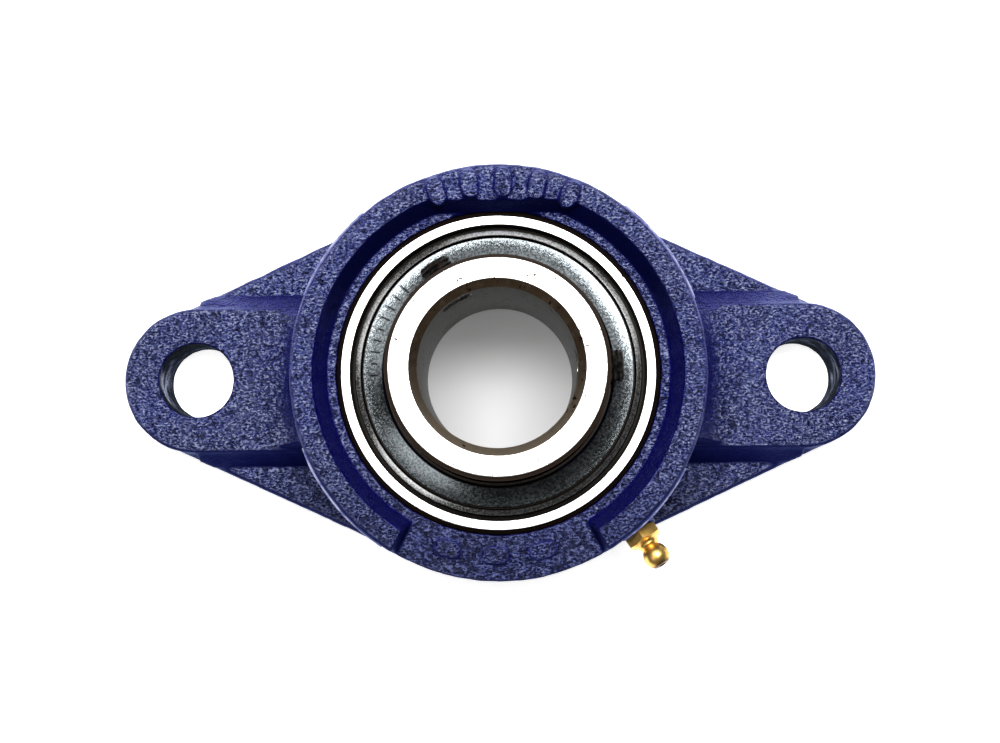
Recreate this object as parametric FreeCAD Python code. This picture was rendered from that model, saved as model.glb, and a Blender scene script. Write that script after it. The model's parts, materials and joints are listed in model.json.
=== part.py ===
import FreeCAD, Part
import math
import os

# Two-bolt flange bearing unit: a cast rhombic housing that holds a self-aligning
# ball bearing insert, with set screws, seals, slingers and a grease nipple.
#
# Frame, in millimetres: the origin is the centre of the housing's back face,
# +Z is the shaft's axis, out of the front, and the two bolt holes lie on X.

os.makedirs("parts", exist_ok=True)
Vector = FreeCAD.Vector
ORIGIN = Vector(0, 0, 0)
Z_AXIS = Vector(0, 0, 1)

# ---- Housing: main sizes ----
BOLT_SPACING = 117.0
BOLT_HOLE_R = 7.0
BOLT_HOLE_EDGE = 0.25
EAR_R = 14.2
EAR_HEIGHT = 13.0
EAR_EDGE_R = 1.2
PLATE_R = 38.8
PLATE_HEIGHT = 9.0
PLATE_EDGE_R = 1.5
PAD_FOOT_HALF_WIDTH = 17.0
RAMP_START_R = 47.5
RAMP_TOP_Z = 17.4
RAMP_TOP_HALF_WIDTH = 12.4
BOSS_FOOT_R = 39.05
BOSS_TOP_R = 38.4
BOSS_EDGE_R = 1.5
RIM_Z = 31.0

# ---- Housing: the front recess, the seat and the back ----
FACE_Z = 27.1
RECESS_FOOT_R = 31.4
RECESS_TOP_R = 33.9
LABEL_PAD_FOOT_Y = 29.4
LABEL_PAD_TOP_Y = 31.2
LOW_SECTOR_HALF_ANGLE = 30.5
LOW_SECTOR_END_SLOPE = 1.4
REAR_RECESS_R = 32.5
REAR_RECESS_DEPTH = 8.5
REAR_RECESS_TAPER = 1.2
SEAT_CLEARANCE = 0.05
SLOT_CLEARANCE = 0.3

# ---- Housing: raised cast marks, plain bars in place of any lettering ----
TOP_MARK_COUNT = 5
TOP_MARK_PITCH = 10.3
TOP_MARK_CENTRE = 88.0
TOP_MARK_R = 34.6
TOP_MARK_LENGTH = 5.7
TOP_MARK_WIDTH = 3.4
LOW_MARK_COUNT = 3
LOW_MARK_PITCH = 15.0
LOW_MARK_CENTRE = 268.5
LOW_MARK_R = 33.6
LOW_MARK_LENGTH = 5.2
LOW_MARK_WIDTH = 3.2
MARK_HEIGHT = 0.75
MARK_EDGE_R = 0.25

# ---- Insert bearing ----
BEARING_Z = 18.0
OUTER_SPHERE_R = 31.0
OUTER_WIDTH = 19.0
OUTER_FACE_R = 28.85
OUTER_CHAMFER_Z = 0.55
OUTER_MOUTH_R = 27.3
OUTER_SHOULDER_R = 26.3
INNER_LENGTH = 38.1
INNER_FRONT_REACH = 22.2
INNER_R = 20.1
INNER_EDGE = 0.8
BORE_R = 14.2875
BORE_CHAMFER = 1.45
BALL_R = 4.7625
BALL_COUNT = 9
PITCH_R = 23.0
RACE_R = 4.953
RACE_CLEARANCE = 0.02
GREASE_GROOVE_Z = 14.5
GREASE_GROOVE_WIDTH = 4.4
GREASE_GROOVE_R = 30.0
OIL_HOLE_R = 0.75
OIL_HOLE_Z = 13.2
OIL_HOLE_ANGLES = (20.0, 200.0)

# ---- Cage ----
CAGE_R_IN = 21.2
CAGE_R_OUT = 24.8
CAGE_SHEET = 0.75
CAGE_POCKET_CLEARANCE = 0.1
RIVET_R = 0.7
RIVET_HEAD_R = 1.3
RIVET_HEAD_TOP_R = 0.78
RIVET_HEAD_HEIGHT = 0.5

# ---- Seals and slingers, as distances from the bearing's mid plane ----
SEAL_WEB_LOW = 6.4
SEAL_WEB_HIGH = 7.15
SEAL_WEB_R = 27.7
SEAL_WEB_BORE_R = 21.9
SEAL_BEAD_R_IN = 25.3
SEAL_BEAD_R_OUT = 26.5
SEAL_BEAD_HIGH = 8.95
SEAL_BEAD_FALL = 0.45
SEAL_BEAD_EDGE = 0.12
LIP_CLEARANCE = 0.05
LIP_R_OUT = 22.8
LIP_COAT = 0.25
LIP_EDGE = 0.1
LIP_BEVEL = 0.5
SLINGER_R = 24.9
SLINGER_BACK = 8.3
SLINGER_SHEET = 0.8
SLINGER_RISE = 0.9
SLINGER_HEM = 0.5
SLINGER_HEM_LENGTH = 0.6
SLINGER_EDGE_R = 0.4
SLINGER_COLLAR_R = 20.9
SLINGER_COLLAR_HEIGHT = 0.4

# ---- Set screws ----
SCREW_R = 3.0
SCREW_HOLE_CLEARANCE = 0.05
SCREW_LENGTH = 6.0
SCREW_OUTER_R = 22.4
SCREW_FROM_END = 6.0
SCREW_ANGLES = (1.0, 121.0)
SCREW_SOCKET_WIDTH = 3.0
SCREW_SOCKET_DEPTH = 2.6
SCREW_CUP_R = 1.5
SCREW_CUP_DEPTH = 0.6
SCREW_CUP_RIM = 0.2
SCREW_EDGE = 0.35

# ---- Grease nipple, along its own axis from the seat of its hexagon ----
NIPPLE_ANGLE = -48.6
NIPPLE_AIM = -57.0
NIPPLE_TILT = 14.0
NIPPLE_SEAT_R = 39.6
NIPPLE_SEAT_Z = 18.6
NIPPLE_HEX_WIDTH = 6.2
NIPPLE_HEX_HEIGHT = 2.2
NIPPLE_HEX_CHAMFER = 0.35
NIPPLE_HEX_TURN = 185.0
NIPPLE_FOOT_R = 2.75
NIPPLE_NECK_R = 2.0
NIPPLE_NECK_END = 3.5
NIPPLE_WAIST_SHIFT = 0.1
NIPPLE_HEAD_R = 2.45
NIPPLE_HEAD_CENTRE = 5.4
NIPPLE_TIP = 7.45
NIPPLE_SHANK_R = 2.6
NIPPLE_SHANK_LENGTH = 6.0
NIPPLE_CHAMBER_R = 1.15
NIPPLE_CHAMBER_END = 5.9
NIPPLE_INLET_R = 0.65
NIPPLE_OUTLET_R = 0.6
NIPPLE_LEDGE = 1.0
NIPPLE_BOSS_R = 3.8
NIPPLE_BOSS_LENGTH = 6.0
NIPPLE_HOLE_SPARE = 0.5
THREAD_CLEARANCE = 0.05
GREASE_DUCT_R = 1.25
GREASE_DUCT_LENGTH = 12.0
CHECK_BALL_R = 1.0
CHECK_BALL_CENTRE = 5.58
SPRING_WIRE_R = 0.13
SPRING_COIL_R = 0.8
SPRING_TURNS = 9
SPRING_GAP = 0.05

BOLT_X = BOLT_SPACING / 2
FULL_TURN = 360.0
BIG = 200.0
OVERSHOOT = 1.0
RECESS_OVERSHOOT = 4.0
TINY = 1e-6


# ---- Small geometry helpers ----

def polar(radius, angle, z=0.0):
    """Point at a radius and an angle in degrees from +X."""
    turn = math.radians(angle)
    return Vector(radius * math.cos(turn), radius * math.sin(turn), z)


def outline_face(points):
    """Face of a closed outline; a pair in the list is an arc's middle and end."""
    first = points[0]
    edges = []
    here = first
    for step in points[1:]:
        if isinstance(step, tuple):
            middle, end = step
            edges.append(Part.Arc(here, middle, end).toShape())
        else:
            end = step
            edges.append(Part.LineSegment(here, end).toShape())
        here = end
    if here.distanceToPoint(first) > TINY:
        edges.append(Part.LineSegment(here, first).toShape())
    return Part.Face(Part.Wire(edges))


def section(*steps):
    """Face in the XZ plane from (r, z) points; a pair of points is an arc."""
    points = []
    for step in steps:
        if isinstance(step[0], tuple):
            points.append(tuple(Vector(r, 0, z) for r, z in step))
        else:
            points.append(Vector(step[0], 0, step[1]))
    return outline_face(points)


def turned(*steps):
    """Solid of revolution about Z."""
    return section(*steps).revolve(ORIGIN, Z_AXIS, FULL_TURN)


def ring(r_in, r_out, z_low, z_high):
    """Plain ring about Z."""
    return turned((r_in, z_low), (r_out, z_low), (r_out, z_high), (r_in, z_high))


def rod(radius, length, base=ORIGIN, direction=Z_AXIS):
    """Plain cylinder."""
    return Part.makeCylinder(radius, length, base, direction)


def hexagon(width, height, z_low=0.0, corner_angle=0.0):
    """Hexagonal prism of a width across flats."""
    corner_r = width / math.sqrt(3)
    corners = [polar(corner_r, corner_angle + 60 * i, z_low) for i in range(6)]
    return outline_face(corners).extrude(Vector(0, 0, height))


def stadium(length, width, height):
    """Flat bar with round ends along X, its top edge rounded, centred on the origin."""
    half = (length - width) / 2
    side = width / 2
    face = outline_face([
        Vector(-half, -side, 0),
        Vector(half, -side, 0),
        (Vector(half + side, 0, 0), Vector(half, side, 0)),
        Vector(-half, side, 0),
        (Vector(-half - side, 0, 0), Vector(-half, -side, 0)),
    ])
    bar = face.extrude(Vector(0, 0, height))
    top_edges = [edge for edge in bar.Edges if edge.BoundBox.ZMin > height - TINY]
    return bar.makeFillet(MARK_EDGE_R, top_edges)


def arc_middle(centre, radius, angle):
    """Point on a circle in the (r, z) plane."""
    turn = math.radians(angle)
    return (centre[0] + radius * math.cos(turn), centre[1] + radius * math.sin(turn))


def mirrored_in_bearing(shape):
    """The same piece on the other side of the bearing's mid plane."""
    return shape.mirror(Vector(0, 0, BEARING_Z), Z_AXIS)


def save(name, shape):
    """Write one node."""
    shape.exportStep("parts/" + name + ".step")
    bodies = len(shape.Solids)
    print(f"{name:22s} solids {bodies:2d}  valid {shape.isValid()}  volume {shape.Volume:10.2f}")


# ---- Housing ----

def hull_outline():
    """Rhombic outline: a middle circle and two ears, joined by tangent lines."""
    lean = math.degrees(math.asin((PLATE_R - EAR_R) / BOLT_X))
    touch = 90 - lean
    ear = Vector(BOLT_X, 0, 0)
    ear_top = ear + polar(EAR_R, touch)
    ear_low = ear + polar(EAR_R, -touch)
    ear_end = ear + polar(EAR_R, 0)
    top = polar(PLATE_R, touch)
    low = polar(PLATE_R, -touch)

    def flip(p):
        return Vector(-p.x, p.y, p.z)

    return outline_face([
        low,
        ear_low,
        (ear_end, ear_top),
        top,
        (Vector(0, PLATE_R, 0), flip(top)),
        flip(ear_top),
        (flip(ear_end), flip(ear_low)),
        flip(low),
        (Vector(0, -PLATE_R, 0), low),
    ])


def flange_plate():
    """The thin rhombic plate, with its top edge rounded."""
    plate = hull_outline().extrude(Vector(0, 0, PLATE_HEIGHT))
    top_edges = [edge for edge in plate.Edges if edge.BoundBox.ZMin > PLATE_HEIGHT - TINY]
    return plate.makeFillet(PLATE_EDGE_R, top_edges)


def ear(side):
    """The thick round pad at one bolt hole, with a rounded top edge."""
    edge_z = EAR_HEIGHT - EAR_EDGE_R
    edge_r = EAR_R - EAR_EDGE_R
    pad = turned(
        (0, 0),
        (EAR_R, 0),
        (EAR_R, edge_z),
        (arc_middle((edge_r, edge_z), EAR_EDGE_R, 45), (edge_r, EAR_HEIGHT)),
        (0, EAR_HEIGHT),
    )
    pad.translate(Vector(side * BOLT_X, 0, 0))
    return pad


def pad_bar():
    """The raised bar that joins the two ears through the boss, with sloping sides."""
    foot = PAD_FOOT_HALF_WIDTH
    shoulder_y = EAR_R - EAR_EDGE_R
    shoulder_z = EAR_HEIGHT - EAR_EDGE_R
    middle = arc_middle((shoulder_y, shoulder_z), EAR_EDGE_R, 45)
    x = -BOLT_X
    face = outline_face([
        Vector(x, -foot, 0),
        Vector(x, foot, 0),
        Vector(x, foot, PLATE_HEIGHT),
        Vector(x, EAR_R, shoulder_z),
        (Vector(x, middle[0], middle[1]), Vector(x, shoulder_y, EAR_HEIGHT)),
        Vector(x, -shoulder_y, EAR_HEIGHT),
        (Vector(x, -middle[0], middle[1]), Vector(x, -EAR_R, shoulder_z)),
        Vector(x, -foot, PLATE_HEIGHT),
    ])
    bar = face.extrude(Vector(BOLT_SPACING, 0, 0))
    return bar.common(hull_outline().extrude(Vector(0, 0, EAR_HEIGHT)))


def pad_ramps():
    """The hollow-curved ramps from the raised bar up to the boss."""
    foot = (RAMP_START_R, EAR_HEIGHT)
    top = (BOSS_TOP_R, RAMP_TOP_Z)
    reach = RAMP_START_R - BOSS_TOP_R
    bend = 2 * math.degrees(math.atan((RAMP_TOP_Z - EAR_HEIGHT) / reach))
    hollow_r = reach / math.sin(math.radians(bend))
    centre = (RAMP_START_R, EAR_HEIGHT + hollow_r)
    middle = arc_middle(centre, hollow_r, 270 - bend / 2)
    inner_r = BOSS_TOP_R - 2 * OVERSHOOT
    below = EAR_HEIGHT - OVERSHOOT
    sweep = turned(
        (inner_r, below),
        (RAMP_START_R, below),
        foot,
        (middle, top),
        (inner_r, RAMP_TOP_Z),
    )
    wide = EAR_R - EAR_EDGE_R
    narrow = RAMP_TOP_HALF_WIDTH
    x = -RAMP_START_R
    wedge = outline_face([
        Vector(x, -wide, below),
        Vector(x, wide, below),
        Vector(x, wide, EAR_HEIGHT),
        Vector(x, narrow, RAMP_TOP_Z),
        Vector(x, -narrow, RAMP_TOP_Z),
        Vector(x, -wide, EAR_HEIGHT),
    ]).extrude(Vector(2 * RAMP_START_R, 0, 0))
    return sweep.common(wedge)


def boss():
    """The tapered round boss, still solid, with its top outer edge rounded."""
    edge_r = BOSS_TOP_R - BOSS_EDGE_R
    edge_z = RIM_Z - BOSS_EDGE_R
    return turned(
        (0, 0),
        (BOSS_FOOT_R, 0),
        (BOSS_TOP_R, edge_z),
        (arc_middle((edge_r, edge_z), BOSS_EDGE_R, 45), (edge_r, RIM_Z)),
        (0, RIM_Z),
    )


def front_recess():
    """The space inside the raised rim, left full behind the label pad at the top."""
    rise = RIM_Z - FACE_Z
    spread = (RECESS_TOP_R - RECESS_FOOT_R) / rise
    top_z = RIM_Z + RECESS_OVERSHOOT
    cone = turned(
        (0, FACE_Z),
        (RECESS_FOOT_R, FACE_Z),
        (RECESS_TOP_R + RECESS_OVERSHOOT * spread, top_z),
        (0, top_z),
    )
    lean = (LABEL_PAD_TOP_Y - LABEL_PAD_FOOT_Y) / rise
    side = outline_face([
        Vector(-BIG / 2, -BIG / 2, FACE_Z),
        Vector(-BIG / 2, LABEL_PAD_FOOT_Y, FACE_Z),
        Vector(-BIG / 2, LABEL_PAD_TOP_Y + RECESS_OVERSHOOT * lean, top_z),
        Vector(-BIG / 2, -BIG / 2, top_z),
    ]).extrude(Vector(BIG, 0, 0))
    return cone.common(side)


def low_sector():
    """The gap in the rim at the bottom, with sloping ends, down to the seat's face."""
    reach = 60.0
    rise = RIM_Z - FACE_Z
    top_z = RIM_Z + RECESS_OVERSHOOT

    def corner(side, z):
        widen = LOW_SECTOR_END_SLOPE * (z - FACE_Z) / rise
        half = LOW_SECTOR_HALF_ANGLE - LOW_SECTOR_END_SLOPE
        far = polar(reach, 270 + side * half, z)
        shift = polar(widen, 270 + side * (half + 90), 0)
        return far + shift

    def triangle(z):
        tip = Vector(0, LOW_SECTOR_END_SLOPE * 2, z)
        return Part.makePolygon([tip, corner(-1, z), corner(1, z), tip])

    return Part.makeLoft([triangle(FACE_Z), triangle(top_z)], True, True)


def rear_recess():
    """The shallow round recess in the mounting face, tapering in to the seat."""
    seat_edge_r = math.sqrt(OUTER_SPHERE_R ** 2 - (BEARING_Z - REAR_RECESS_DEPTH) ** 2)
    return turned(
        (0, -OVERSHOOT),
        (REAR_RECESS_R, -OVERSHOOT),
        (REAR_RECESS_R, REAR_RECESS_DEPTH - REAR_RECESS_TAPER),
        (seat_edge_r, REAR_RECESS_DEPTH),
        (0, REAR_RECESS_DEPTH),
    )


def loading_slots():
    """Two slots in the back of the seat, through which the insert goes in edgewise."""
    half = OUTER_WIDTH / 2 + SLOT_CLEARANCE
    depth = BEARING_Z
    shaft = rod(OUTER_SPHERE_R + SEAT_CLEARANCE, depth)
    slab = Part.makeBox(BIG, 2 * half, depth, Vector(-BIG / 2, -half, 0))
    return shaft.common(slab)


def nipple_placement():
    """Places a piece drawn along +Z, from the hexagon's seat, on the nipple's axis."""
    base = polar(NIPPLE_SEAT_R, NIPPLE_ANGLE, NIPPLE_SEAT_Z)
    lean = FreeCAD.Rotation(Vector(0, 1, 0), 90 - NIPPLE_TILT)
    swing = FreeCAD.Rotation(Z_AXIS, NIPPLE_AIM)
    return FreeCAD.Placement(base, swing.multiply(lean))


def on_nipple_axis(shape):
    """Move a piece from its own frame to the nipple's place."""
    moved = shape.copy()
    moved.Placement = nipple_placement().multiply(moved.Placement)
    return moved


def nipple_hole():
    """Tapped hole for the nipple and the narrow duct on to the seat."""
    depth = NIPPLE_SHANK_LENGTH + NIPPLE_HOLE_SPARE
    tapped = rod(NIPPLE_SHANK_R + THREAD_CLEARANCE, depth, Vector(0, 0, -depth))
    duct = rod(GREASE_DUCT_R, GREASE_DUCT_LENGTH, Vector(0, 0, -GREASE_DUCT_LENGTH))
    spot_face = rod(NIPPLE_BOSS_R, NIPPLE_TIP)
    return on_nipple_axis(tapped.fuse(duct).fuse(spot_face))


def raised_marks():
    """Plain bars cast on the label pad and dashes cast in the low sector."""
    marks = []
    for i in range(TOP_MARK_COUNT):
        angle = TOP_MARK_CENTRE + (i - (TOP_MARK_COUNT - 1) / 2) * TOP_MARK_PITCH
        bar = stadium(TOP_MARK_LENGTH, TOP_MARK_WIDTH, 2 * MARK_HEIGHT)
        bar.rotate(ORIGIN, Z_AXIS, angle)
        bar.translate(polar(TOP_MARK_R, angle, RIM_Z - MARK_HEIGHT))
        marks.append(bar)
    for i in range(LOW_MARK_COUNT):
        angle = LOW_MARK_CENTRE + (i - (LOW_MARK_COUNT - 1) / 2) * LOW_MARK_PITCH
        bar = stadium(LOW_MARK_LENGTH, LOW_MARK_WIDTH, 2 * MARK_HEIGHT)
        bar.rotate(ORIGIN, Z_AXIS, angle + 90)
        bar.translate(polar(LOW_MARK_R, angle, FACE_Z - MARK_HEIGHT))
        marks.append(bar)
    return marks


def bolt_hole(side):
    """One bolt hole, its front edge broken."""
    edge = BOLT_HOLE_EDGE
    hole = turned(
        (0, -OVERSHOOT),
        (BOLT_HOLE_R, -OVERSHOOT),
        (BOLT_HOLE_R, EAR_HEIGHT - edge),
        (BOLT_HOLE_R + 2 * edge, EAR_HEIGHT + edge),
        (0, EAR_HEIGHT + edge),
    )
    hole.translate(Vector(side * BOLT_X, 0, 0))
    return hole


def housing():
    """The whole casting, machined."""
    inside = Vector(0, 0, -NIPPLE_BOSS_LENGTH)
    nipple_boss = on_nipple_axis(rod(NIPPLE_BOSS_R, NIPPLE_BOSS_LENGTH, inside))
    body = flange_plate()
    for piece in (pad_bar(), ear(1), ear(-1), boss(), pad_ramps(), nipple_boss):
        body = body.fuse(piece)
    body = body.cut(front_recess())
    body = body.cut(low_sector())
    body = body.cut(rear_recess())
    for mark in raised_marks():
        body = body.fuse(mark)
    seat = Part.makeSphere(OUTER_SPHERE_R + SEAT_CLEARANCE, Vector(0, 0, BEARING_Z))
    body = body.cut(seat)
    body = body.cut(loading_slots())
    body = body.cut(nipple_hole())
    for side in (1, -1):
        body = body.cut(bolt_hole(side))
    return body.removeSplitter()


# ---- Bearing rings ----

def outer_ring():
    """Ball race with a spherical outside, a grease groove and two oil holes."""
    half = OUTER_WIDTH / 2
    low = BEARING_Z - half
    high = BEARING_Z + half
    edge_dz = half - OUTER_CHAMFER_Z
    edge_r = math.sqrt(OUTER_SPHERE_R ** 2 - edge_dz ** 2)
    race_bottom = PITCH_R + BALL_R + RACE_CLEARANCE
    race_centre = race_bottom - RACE_R
    race_half = math.sqrt(RACE_R ** 2 - (OUTER_SHOULDER_R - race_centre) ** 2)
    web_low = SEAL_WEB_LOW
    web_high = SEAL_WEB_HIGH
    mid = BEARING_Z
    body = turned(
        (OUTER_MOUTH_R, high),
        (OUTER_FACE_R, high),
        (edge_r, mid + edge_dz),
        ((OUTER_SPHERE_R, mid), (edge_r, mid - edge_dz)),
        (OUTER_FACE_R, low),
        (OUTER_MOUTH_R, low),
        (OUTER_MOUTH_R, mid - web_high),
        (SEAL_WEB_R, mid - web_high),
        (SEAL_WEB_R, mid - web_low),
        (OUTER_SHOULDER_R, mid - web_low),
        (OUTER_SHOULDER_R, mid - race_half),
        ((race_bottom, mid), (OUTER_SHOULDER_R, mid + race_half)),
        (OUTER_SHOULDER_R, mid + web_low),
        (SEAL_WEB_R, mid + web_low),
        (SEAL_WEB_R, mid + web_high),
        (OUTER_MOUTH_R, mid + web_high),
    )
    groove_low = GREASE_GROOVE_Z - GREASE_GROOVE_WIDTH / 2
    groove_high = GREASE_GROOVE_Z + GREASE_GROOVE_WIDTH / 2
    body = body.cut(ring(GREASE_GROOVE_R, OUTER_SPHERE_R + OVERSHOOT, groove_low, groove_high))
    for angle in OIL_HOLE_ANGLES:
        start = polar(OUTER_SHOULDER_R - OVERSHOOT, angle, OIL_HOLE_Z)
        reach = OUTER_SPHERE_R - OUTER_SHOULDER_R + 2 * OVERSHOOT
        body = body.cut(rod(OIL_HOLE_R, reach, start, polar(1, angle)))
    return body


def inner_ring():
    """Long inner ring with the shaft bore, the inner race and two screw holes."""
    high = BEARING_Z + INNER_FRONT_REACH
    low = high - INNER_LENGTH
    mouth_r = BORE_R + BORE_CHAMFER
    face_r = INNER_R - INNER_EDGE
    race_bottom = PITCH_R - BALL_R - RACE_CLEARANCE
    race_centre = race_bottom + RACE_R
    race_half = math.sqrt(RACE_R ** 2 - (race_centre - INNER_R) ** 2)
    body = turned(
        (BORE_R, low + BORE_CHAMFER),
        (mouth_r, low),
        (face_r, low),
        (INNER_R, low + INNER_EDGE),
        (INNER_R, BEARING_Z - race_half),
        ((race_bottom, BEARING_Z), (INNER_R, BEARING_Z + race_half)),
        (INNER_R, high - INNER_EDGE),
        (face_r, high),
        (mouth_r, high),
        (BORE_R, high - BORE_CHAMFER),
    )
    for angle in SCREW_ANGLES:
        start = polar(BORE_R / 2, angle, screw_height())
        hole = rod(SCREW_R + SCREW_HOLE_CLEARANCE, INNER_R, start, polar(1, angle))
        body = body.cut(hole)
    return body


def ball(index):
    """One bearing ball on the pitch circle."""
    return Part.makeSphere(BALL_R, polar(PITCH_R, index * FULL_TURN / BALL_COUNT, BEARING_Z))


# ---- Cage ----

def rivet_angles():
    """Half way between neighbouring balls."""
    return [(i + 0.5) * FULL_TURN / BALL_COUNT for i in range(BALL_COUNT)]


def cage_front_half():
    """Pressed ribbon ring: flat lands between the balls and a round pocket over each."""
    mid = BEARING_Z
    pocket_r = BALL_R + CAGE_POCKET_CLEARANCE
    shell_r = pocket_r + CAGE_SHEET
    band = ring(CAGE_R_IN, CAGE_R_OUT, mid, mid + shell_r + OVERSHOOT)
    body = ring(CAGE_R_IN, CAGE_R_OUT, mid, mid + CAGE_SHEET)
    centres = [polar(PITCH_R, i * FULL_TURN / BALL_COUNT, mid) for i in range(BALL_COUNT)]
    for centre in centres:
        body = body.fuse(Part.makeSphere(shell_r, centre).common(band))
    for centre in centres:
        body = body.cut(Part.makeSphere(pocket_r, centre))
    for angle in rivet_angles():
        start = polar(PITCH_R, angle, mid - OVERSHOOT)
        body = body.cut(rod(RIVET_R, CAGE_SHEET + 2 * OVERSHOOT, start))
    return body.removeSplitter()


def cage_rivets():
    """A headed rivet through both halves between each two balls."""
    rivets = []
    half = CAGE_SHEET + RIVET_HEAD_HEIGHT
    for angle in rivet_angles():
        pin = turned(
            (0, -half),
            (RIVET_HEAD_TOP_R, -half),
            (RIVET_HEAD_R, -CAGE_SHEET),
            (RIVET_R, -CAGE_SHEET),
            (RIVET_R, CAGE_SHEET),
            (RIVET_HEAD_R, CAGE_SHEET),
            (RIVET_HEAD_TOP_R, half),
            (0, half),
        )
        pin.translate(polar(PITCH_R, angle, BEARING_Z))
        rivets.append(pin)
    return Part.makeCompound(rivets)


# ---- Seals and slingers, drawn for the front side ----

def front_seal_carrier():
    """Pressed steel ring snapped into the outer ring, with a raised sloping bead."""
    web_low = BEARING_Z + SEAL_WEB_LOW
    web_high = BEARING_Z + SEAL_WEB_HIGH
    bead_top = BEARING_Z + SEAL_BEAD_HIGH
    return turned(
        (SEAL_WEB_BORE_R, web_low),
        (SEAL_WEB_R, web_low),
        (SEAL_WEB_R, web_high),
        (SEAL_BEAD_R_OUT, web_high),
        (SEAL_BEAD_R_OUT, bead_top - SEAL_BEAD_FALL),
        (SEAL_BEAD_R_IN + SEAL_BEAD_EDGE, bead_top),
        (SEAL_BEAD_R_IN, bead_top - SEAL_BEAD_EDGE),
        (SEAL_BEAD_R_IN, web_high),
        (SEAL_WEB_BORE_R, web_high),
    )


def front_seal_lip():
    """Rubber lip moulded on the carrier's inner edge, running on the inner ring."""
    web_low = BEARING_Z + SEAL_WEB_LOW
    web_high = BEARING_Z + SEAL_WEB_HIGH
    lip_r = INNER_R + LIP_CLEARANCE
    low = web_low - LIP_COAT
    high = web_high + LIP_COAT
    return turned(
        (lip_r, web_low + LIP_EDGE),
        (lip_r + LIP_BEVEL, low),
        (LIP_R_OUT, low),
        (LIP_R_OUT, web_low),
        (SEAL_WEB_BORE_R, web_low),
        (SEAL_WEB_BORE_R, web_high),
        (LIP_R_OUT, web_high),
        (LIP_R_OUT, high),
        (lip_r + LIP_BEVEL, high),
        (lip_r, web_high + LIP_EDGE),
    )


def front_slinger():
    """Conical steel flinger pressed on the inner ring, covering the seal."""
    back = BEARING_Z + SLINGER_BACK
    front = back + SLINGER_SHEET
    hem_r = SLINGER_R - SLINGER_HEM
    hem_end = back - SLINGER_HEM_LENGTH
    edge_r = SLINGER_R - SLINGER_EDGE_R
    edge_z = front - SLINGER_EDGE_R
    collar_foot_r = SLINGER_COLLAR_R + SLINGER_COLLAR_HEIGHT
    collar_top = front + SLINGER_RISE + SLINGER_COLLAR_HEIGHT
    return turned(
        (INNER_R, back + SLINGER_RISE),
        (collar_foot_r, back + SLINGER_RISE),
        (hem_r, back),
        (hem_r, hem_end),
        (SLINGER_R, hem_end),
        (SLINGER_R, edge_z),
        (arc_middle((edge_r, edge_z), SLINGER_EDGE_R, 45), (edge_r, front)),
        (collar_foot_r, front + SLINGER_RISE),
        (SLINGER_COLLAR_R, collar_top),
        (INNER_R, collar_top),
    )


# ---- Set screws ----

def screw_height():
    """Distance of the set screws' axes from the mounting face."""
    return BEARING_Z + INNER_FRONT_REACH - SCREW_FROM_END


def set_screw(angle):
    """Socket set screw with a cup point, its socket facing out."""
    point_r = SCREW_CUP_R + SCREW_CUP_RIM
    body = turned(
        (0, 0),
        (point_r, 0),
        (SCREW_R, SCREW_R - point_r),
        (SCREW_R, SCREW_LENGTH - SCREW_EDGE),
        (SCREW_R - SCREW_EDGE, SCREW_LENGTH),
        (0, SCREW_LENGTH),
    )
    cup = Part.makeCone(SCREW_CUP_R, 0, SCREW_CUP_DEPTH, ORIGIN, Z_AXIS)
    bottom = SCREW_LENGTH - SCREW_SOCKET_DEPTH
    socket = hexagon(SCREW_SOCKET_WIDTH, SCREW_SOCKET_DEPTH + OVERSHOOT, bottom)
    body = body.cut(cup).cut(socket)
    aim = FreeCAD.Rotation(Z_AXIS, polar(1, angle))
    inner_end = polar(SCREW_OUTER_R - SCREW_LENGTH, angle, screw_height())
    body.Placement = FreeCAD.Placement(inner_end, aim)
    return body


# ---- Grease nipple ----

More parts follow.
